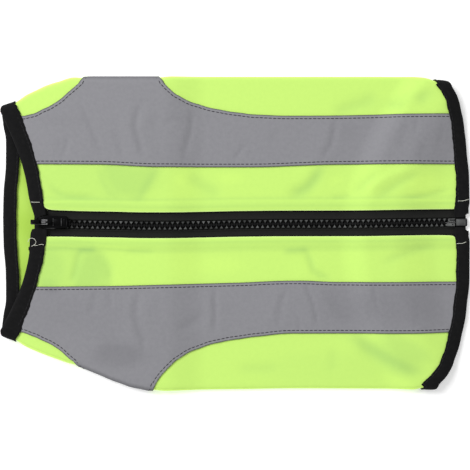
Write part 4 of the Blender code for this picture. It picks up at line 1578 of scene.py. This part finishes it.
# Zip teeth
# Moulded black plastic, one row on the rib of each tape. A tooth has a three-cornered foot, a neck
# and a head, and with the zip closed each head sits between two necks of the other row.
PITCH = 3.13
LAST_TOOTH = {1: 270.8, -1: 269.25}
FIRST_TOOTH = 37.0
TOOTH_BODY = table(
    "half out",
    (0.70, 2.50),
    (0.70, 1.35),
    (0.44, 1.00),
    (0.44, 0.62),
    (0.76, 0.32),
    (0.76, -0.30),
    (0.42, -0.86),
)
TOOTH_FOOT = ((-1.05, 2.35), (1.05, 2.35), (0.0, 0.62))
TOOTH_LOW = -1.5
HEAD_HIGH = 0.1
FOOT_HIGH = 0.6
HEAD_SOFT = 0.14
FOOT_SOFT = 0.16
# Painted glints on the teeth's feet: how bright, how much they vary along the row, and how much is lost near
# the slider, and up to where.
SHINE = 0.75
SHINE_VARIES = 0.3
SHINE_LOST = 0.35
DARK_UP_TO = 44.0
DARK_FADE = 8.0
PLASTIC = (0.0060, 0.0060, 0.0062)
PLASTIC_GLINT = (0.155, 0.160, 0.157)


def moulded(bm, outline, low, high, soften=0.0, segments=1):
    """An outline pulled up into a moulded block, with its upper edges softened."""
    face = bm.faces.new([bm.verts.new((x, w, low)) for x, w in outline])
    grown = bmesh.ops.extrude_face_region(bm, geom=[face])["geom"]
    for part in grown:
        if isinstance(part, bmesh.types.BMVert):
            part.co.z = high
    if soften:
        top = next(part for part in grown if isinstance(part, bmesh.types.BMFace))
        bmesh.ops.bevel(
            bm, geom=top.edges[:], offset=soften, offset_type="OFFSET", segments=segments,
            profile=0.5, affect="EDGES", clamp_overlap=True, material=-1,
        )


def grain_group():
    """Moulded plastic's fine grain, and patches that break up its painted glints."""
    group, start, end = node_group("moulded_grain", "Fineness", "Grain Rubbed")
    grain = noise(group, start.outputs["Vector"], detail=3.0)
    node_link(group, start, "Fineness", grain, "Scale")
    patchy_glint = noise(group, start.outputs["Vector"], scale=260.0, detail=4.0)
    node_link(group, grain, "Fac", end, "Grain")
    node_link(group, patchy_glint, "Fac", end, "Rubbed")
    return group


GRAIN = grain_group()


def black_plastic(name, colour, wear_and_glint, smooth_low, smooth_high, fineness, specular=0.1):
    """Semi-gloss black plastic, with a painted glint, paler and smoother, where its mark says."""
    material, tree, shader = new_material(name, 0.4, specular)
    grained = node(tree, "ShaderNodeGroup", node_tree=GRAIN)
    grained.inputs["Fineness"].default_value = fineness
    tree.links.new(own_place(tree), grained.inputs["Vector"])
    marks = math_node(tree, "MULTIPLY", attribute(tree, "wear_and_glint"), grained.outputs["Rubbed"])
    patchy_glint = ranged(tree, marks, 0.0, 1.0, 0.1, 0.7)
    tree.links.new(blend_colours(tree, patchy_glint, colour, wear_and_glint), shader.inputs["Base Color"])
    tree.links.new(ranged(tree, patchy_glint, smooth_high, smooth_low), shader.inputs["Roughness"])
    bumped(tree, shader, grained.outputs["Grain"], 0.12, 0.05)
    return material


def hardware(name, bm, material, node_name, body="jacket"):
    """A finished hard piece in place of its node."""
    stands_for(piece(name, bm, material, crease=32, merge=0.001), node_name, body)


def on_zip(bm):
    """Set a mesh that is drawn beside a straight zip on the laid jacket."""
    for vert in bm.verts:
        vert.co = on_top(*vert.co)


def add_tooth(bm, side):
    """One tooth at x = 0, with its head towards the other row."""
    outline = list(zip(TOOTH_BODY["half"], TOOTH_BODY["out"]))
    right = [(near, side * out) for near, out in outline]
    left = [(-near, side * out) for near, out in reversed(outline)]
    moulded(bm, right + left, TOOTH_LOW, HEAD_HIGH, HEAD_SOFT)
    moulded(bm, [(along, side * out) for along, out in TOOTH_FOOT], TOOTH_LOW, FOOT_HIGH, FOOT_SOFT)
    return bm.verts[:] + bm.edges[:] + bm.faces[:]


def teeth_row(side):
    """A row of teeth, each a copy of the first set a pitch further on."""
    bm = bmesh.new()
    wear_and_glint = bm.verts.layers.float.new("wear_and_glint")
    tooth = add_tooth(bm, side)
    # The feet's tops get a painted glint, and the heads stay dark.
    for part in tooth:
        if isinstance(part, bmesh.types.BMVert):
            part[wear_and_glint] = smooth((part.co.z - HEAD_HIGH) / (FOOT_HIGH - HEAD_HIGH))
    bmesh.ops.translate(bm, verts=bm.verts[:], vec=(LAST_TOOTH[side], 0, 0))
    for k in range(1, int((LAST_TOOTH[side] - FIRST_TOOTH) / PITCH) + 1):
        copy = bmesh.ops.duplicate(bm, geom=tooth)["geom"]
        verts = [part for part in copy if isinstance(part, bmesh.types.BMVert)]
        bmesh.ops.translate(bm, verts=verts, vec=(-k * PITCH, 0, 0))
        # The painted glint varies from tooth to tooth, and fades near the slider, where the light doesn't
        # catch the teeth.
        near_slider = 1 - smooth((LAST_TOOTH[side] - k * PITCH - DARK_UP_TO) / DARK_FADE)
        varied = SHINE_VARIES * math.sin(0.23 * k) * math.sin(0.61 * k + side)
        shine = SHINE + varied - SHINE_LOST * near_slider
        for vert in verts:
            vert[wear_and_glint] *= shine
    return bm


teeth_plastic = black_plastic("teeth_plastic", PLASTIC, PLASTIC_GLINT, 0.30, 0.45, 2600.0)
bm = teeth_row(1)
other = bpy.data.meshes.new("left_row")
left_bm = teeth_row(-1)
left_bm.to_mesh(other)
left_bm.free()
bm.from_mesh(other)
bpy.data.meshes.remove(other)
on_zip(bm)
hardware("moulded_teeth", bm, teeth_plastic, "zip_teeth")


# Zip ends
# The retainer box at the hem is moulded round both tapes, with the two bottom stops before it. The
# right stop is slotted from the box's side, and the left one has a tapered end and a small boss.
BOX_SECTION = [
    (-2.45, -1.3),
    (-2.05, -1.7),
    (2.05, -1.7),
    (2.45, -1.3),
    (2.45, 0.2),
    (2.25, 0.75),
    (1.7, 1.08),
    (0.9, 1.24),
    (0, 1.3),
    (-0.9, 1.24),
    (-1.7, 1.08),
    (-2.25, 0.75),
    (-2.45, 0.2),
]
BOX_STATIONS = (
    (277.9, 0.86),
    (278.1, 0.96),
    (278.4, 1),
    (280.4, 1),
    (282.2, 1),
    (283.3, 1),
    (283.7, 1),
    (284.35, 0.96),
    (284.6, 0.84),
)
# Painted glints in bands across the box's rounded top.
BOX_GLINTS = table(
    "from_x to_x from_w to_w above share",
    (277.8, 278.2, -2.1, 2.1, 0.6, 0.8),
    (278.3, 279, -2.1, 2.1, 0.8, 0.95),
    (280, 280.8, -2.1, 2.1, 0.8, 0.72),
    (282, 283.4, -2.1, 2.1, 0.8, 0.85),
)
# A painted glint on the stops' tops.
STOP_GLINTS = table("from_x to_x from_w to_w above share", (271, 277.2, -2.5, 2.5, 0.75, 1))
TAPERED_STOP = [
    (271.3, -1.2),
    (272.4, -0.45),
    (277.1, -0.45),
    (277.1, -2.35),
    (272.4, -2.35),
    (271.3, -1.8),
]
BOSS = (275.7, -1.3, 0.9)
BOX_PLASTIC = (0.022, 0.022, 0.024)
STOP_PLASTIC = (0.012, 0.012, 0.013)


def blocks(bm, *rows):
    """Square blocks: from and to along x and w, their two heights, and how soft their tops are."""
    for start, end, near, far, low, high, soften in rows:
        moulded(bm, [(start, near), (end, near), (end, far), (start, far)], low, high, soften, 2)


def mark_glints(bm, places):
    """Mark where a piece gets a painted glint: boxes of x and w, above a height, and how much."""
    wear_and_glint = bm.verts.layers.float.new("wear_and_glint")
    for vert in bm.verts:
        x, w, h = vert.co
        for from_x, to_x, from_w, to_w, above, share in zip(*places.values()):
            if from_x < x < to_x and from_w < w < to_w and h > above:
                vert[wear_and_glint] = max(vert[wear_and_glint], share)


box_plastic = black_plastic("box_plastic", BOX_PLASTIC, PLASTIC_GLINT, 0.34, 0.48, 1800.0)
stop_plastic = black_plastic("stop_plastic", STOP_PLASTIC, PLASTIC_GLINT, 0.34, 0.48, 1800.0)
bm = carry(BOX_SECTION, [x for x, _ in BOX_STATIONS])
sizes = dict(BOX_STATIONS)
for vert in bm.verts:
    w, x, h = vert.co
    scale = min(sizes.items(), key=lambda item: abs(item[0] - x))[1]
    vert.co = (x, w * scale, h * scale)
mark_glints(bm, BOX_GLINTS)
on_zip(bm)
hardware("retainer_box", bm, box_plastic, "zip_box")

bm = bmesh.new()
blocks(
    bm,
    (273, 277.2, 0.25, 2.35, -1.3, 0.3, 0.15),
    (273.2, 277.1, 1.75, 2.35, 0.1, 1, 0.2),
    (273.4, 277.1, 0.4, 1, 0.1, 1, 0.2),
    (273, 273.8, 0.5, 2.2, 0.1, 1, 0.2),
)
mark_glints(bm, STOP_GLINTS)
on_zip(bm)
hardware("slotted_stop_right", bm, stop_plastic, "zip_stop_right")

bm = bmesh.new()
moulded(bm, TAPERED_STOP, -1.3, 0.85, 0.22, 2)
mark_glints(bm, STOP_GLINTS)
bmesh.ops.create_cone(
    bm, cap_ends=True, segments=16, radius1=0.5, radius2=0.38, depth=0.35,
    matrix=Matrix.Translation(BOSS),
)
on_zip(bm)
hardware("tapered_stop_left", bm, stop_plastic, "zip_stop_left")


# Slider
# A moulded black body in two plates, joined by a wedge that parts the teeth, with its sides turned
# down over their feet. A crown is bridged over the top for the pull tab, with a ribbed pad behind.
SLIDER_WEDGE = table(
    "along half",
    (24.2, 1.7),
    (26.8, 1.7),
    (30.8, 0.6),
)
CROWN = [
    (25.6, 1.9),
    (25.6, 3.85),
    (25.85, 4.25),
    (26.3, 4.5),
    (26.9, 4.6),
    (28.3, 4.6),
    (29, 4.6),
    (31.1, 4.6),
    (31.7, 4.5),
    (32.15, 4.25),
    (32.4, 3.85),
    (32.4, 1.9),
    (31.6, 1.9),
    (31.6, 3.45),
    (31.3, 3.8),
    (26.7, 3.8),
    (26.4, 3.45),
    (26.4, 1.9),
]
CROWN_HALF = 0.5
WEDGE_ASIDE = -0.7
SLIDER_PLASTIC = (0.0018, 0.0018, 0.0020)
SLIDER_GLINT = (0.300, 0.300, 0.305)
# Painted glints on the slider's two ribs, its back end, one side edge and the front of its crown.
SLIDER_GLINTS = table(
    "from_x to_x from_w to_w above share",
    (32.5, 33.3, -2.4, 2.4, 2.55, 0.32),
    (37.5, 38.2, -2.4, 2.4, 2.6, 0.36),
    (40.8, 41.6, -2.6, 2.6, 1.5, 0.3),
    (25, 34, -4.3, -3.6, 1.9, 0.35),
    (26, 28.4, -0.6, 0.6, 4.3, 0.7),
)


def both_sides(rows, inset=0.0):
    """An outline from its half widths along the zip."""
    right = [(x, wide - inset) for x, wide in zip(rows["along"], rows["half"])]
    return right + [(x, -w) for x, w in reversed(right)]


def at_slider(bm):
    """Set a piece that is drawn beside the zip line at the height of the cloth under the crown."""
    seat = Vector(on_top(PULL_ALONG, SLIDER_ASIDE, 0))
    for vert in bm.verts:
        vert.co.y += seat.y
        vert.co.z += seat.z


def side_cut(bm, outline, half_width, soften):
    """A block whose outline is seen from the side."""
    before = set(bm.verts)
    moulded(bm, outline, -half_width, half_width, soften, 2)
    for vert in set(bm.verts) - before:
        vert.co = (vert.co.x, vert.co.z, vert.co.y)


slider_plastic = black_plastic("slider_plastic", SLIDER_PLASTIC, SLIDER_GLINT, 0.24, 0.38, 1500.0, 0.06)
bm = bmesh.new()
moulded(bm, both_sides(SLIDER_PLATE), 0.9, 2.1, 0.5, 4)
moulded(bm, both_sides(SLIDER_PLATE, 0.4), -3.1, -2.1)
moulded(bm, [(x, w + WEDGE_ASIDE) for x, w in both_sides(SLIDER_WEDGE)], -2.7, 1.3)
blocks(
    bm,
    (26.8, 36.5, 3.1, 3.7, 0.65, 1.3, 0),
    (26.8, 36.5, -3.7, -3.1, 0.65, 1.3, 0),
    (33.3, 37.7, -1.75, 1.75, 1.9, 2.45, 0.25),
    (32.6, 33.2, -2.35, 2.35, 1.9, 2.7, 0.2),
    (37.55, 38.15, -2.35, 2.35, 1.9, 2.75, 0.2),
    (39, 40.4, -2, 2, 1.9, 2.3, 0.2),
)
side_cut(bm, CROWN, CROWN_HALF, 0.12)
mark_glints(bm, SLIDER_GLINTS)
at_slider(bm)
hardware("slider_body", bm, slider_plastic, "zip_slider")


# Pull tab
# A slim black tab forked at its root. The fork's ends are turned round a pin that hangs in the
# slider's crown, so the tab lifts and folds back over the slider.
PULL_MIDDLE = 2.95
PULL_FORK = [
    (19.7, 1.5),
    (19.38, 1.28),
    (19.3, 0.95),
    (19.3, -0.95),
    (19.38, -1.28),
    (19.7, -1.5),
    (28.6, -1.5),
    (28.6, -0.9),
    (24.9, -0.9),
    (24.6, -0.6),
    (24.6, 0.6),
    (24.9, 0.9),
    (28.6, 0.9),
    (28.6, 1.5),
]
PULL_CUTS = (25.4, 26.9)
# Where each one's middle lies across the zip, how long it is, and its radius.
PIN_AND_KNUCKLES = ((0.0, 3.0, 0.5), (1.2, 0.6, 0.62), (-1.2, 0.6, 0.62))
# Painted glints on the pull's knuckles and along one edge of the tab.
PULL_GLINTS = table(
    "from_x to_x from_w to_w above share",
    (26.6, 30, -1.9, 1.9, 2.9, 1.2),
    (19.2, 25.6, -1.6, -1.22, 3.2, 0.45),
)

bm = bmesh.new()
moulded(bm, PULL_FORK, PULL_MIDDLE - 0.5, PULL_MIDDLE + 0.5, 0.2, 3)
blocks(bm, (20.1, 23.9, -0.95, 0.95, PULL_MIDDLE + 0.3, PULL_MIDDLE + 0.62, 0.14))
for x in PULL_CUTS:
    geom = bm.verts[:] + bm.edges[:] + bm.faces[:]
    bmesh.ops.bisect_plane(bm, geom=geom, dist=0.0001, plane_co=(x, 0, 0), plane_no=(1, 0, 0))
across_zip = Matrix.Rotation(math.pi / 2, 4, "X")
for middle, reach, radius in PIN_AND_KNUCKLES:
    seat = Matrix.Translation((PULL_ALONG, middle, PULL_MIDDLE)) @ across_zip
    bmesh.ops.create_cone(
        bm, cap_ends=True, segments=24, radius1=radius, radius2=radius, depth=reach, matrix=seat
    )
mark_glints(bm, PULL_GLINTS)
at_slider(bm)
hardware("forked_pull_tab", bm, slider_plastic, "zip_pull", "pull_tab")


# Loose thread ends
# Pale sewing thread, where the seams across the bindings begin and end. It lies on the black tape
# in short lines, and in one curl that was never trimmed.
THREAD_RADIUS = 0.145
ON_BINDING = 1.8
PALE_THREAD = (0.88, 0.90, 0.78)
THREADS = {
    "thread_neck_right": [(19.2, 13.4), (21.0, 13.2), (23.0, 13.3), (24.6, 13.2)],
    "thread_neck_curl": [
        (17.6, -10.9),
        (17.8, -9.5),
        (18.9, -8.7),
        (20.1, -8.4),
        (21.5, -9.1),
        (22.5, -10.6),
        (22.1, -12.1),
        (20.9, -12.7),
        (19.7, -13.6),
    ],
    "thread_neck_tail": [(21.1, -12.7), (22.1, -13.1), (23.3, -12.9)],
    "thread_neck_dash": [(23.9, -12.7), (24.8, -12.3), (26.0, -12.3), (27.1, -12.5)],
    "thread_hem_right": [(278.6, 12.9), (279.6, 13.1), (280.8, 12.9), (282.9, 13.3), (285.1, 13.8)],
    "thread_hem_left": [(277.8, -13.1), (279.2, -12.8), (280.6, -13.0), (282.0, -12.7), (283.6, -12.0)],
}

pale_thread = thread_material("pale_thread", PALE_THREAD)
for name, points in THREADS.items():
    curve = bpy.data.curves.new(name, "CURVE")
    curve.dimensions = "3D"
    curve.bevel_depth = THREAD_RADIUS * MM
    curve.bevel_resolution = 3
    curve.use_fill_caps = True
    spline = curve.splines.new("NURBS")
    spline.points.add(len(points) - 1)
    for k, (x, w) in enumerate(points):
        spline.points[k].co = (*place(on_top(x, w, ON_BINDING + THREAD_RADIUS)), 1)
    spline.order_u = 3
    spline.resolution_u = 8
    spline.use_endpoint_u = True
    drawn = bpy.data.objects.new(f"{name}_line", curve)
    mesh = bpy.data.meshes.new_from_object(drawn)
    mesh.name = name
    mesh.materials.clear()
    mesh.materials.append(pale_thread)
    thread = add_object(name, mesh)
    bpy.data.objects.remove(drawn)
    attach(thread, "jacket")
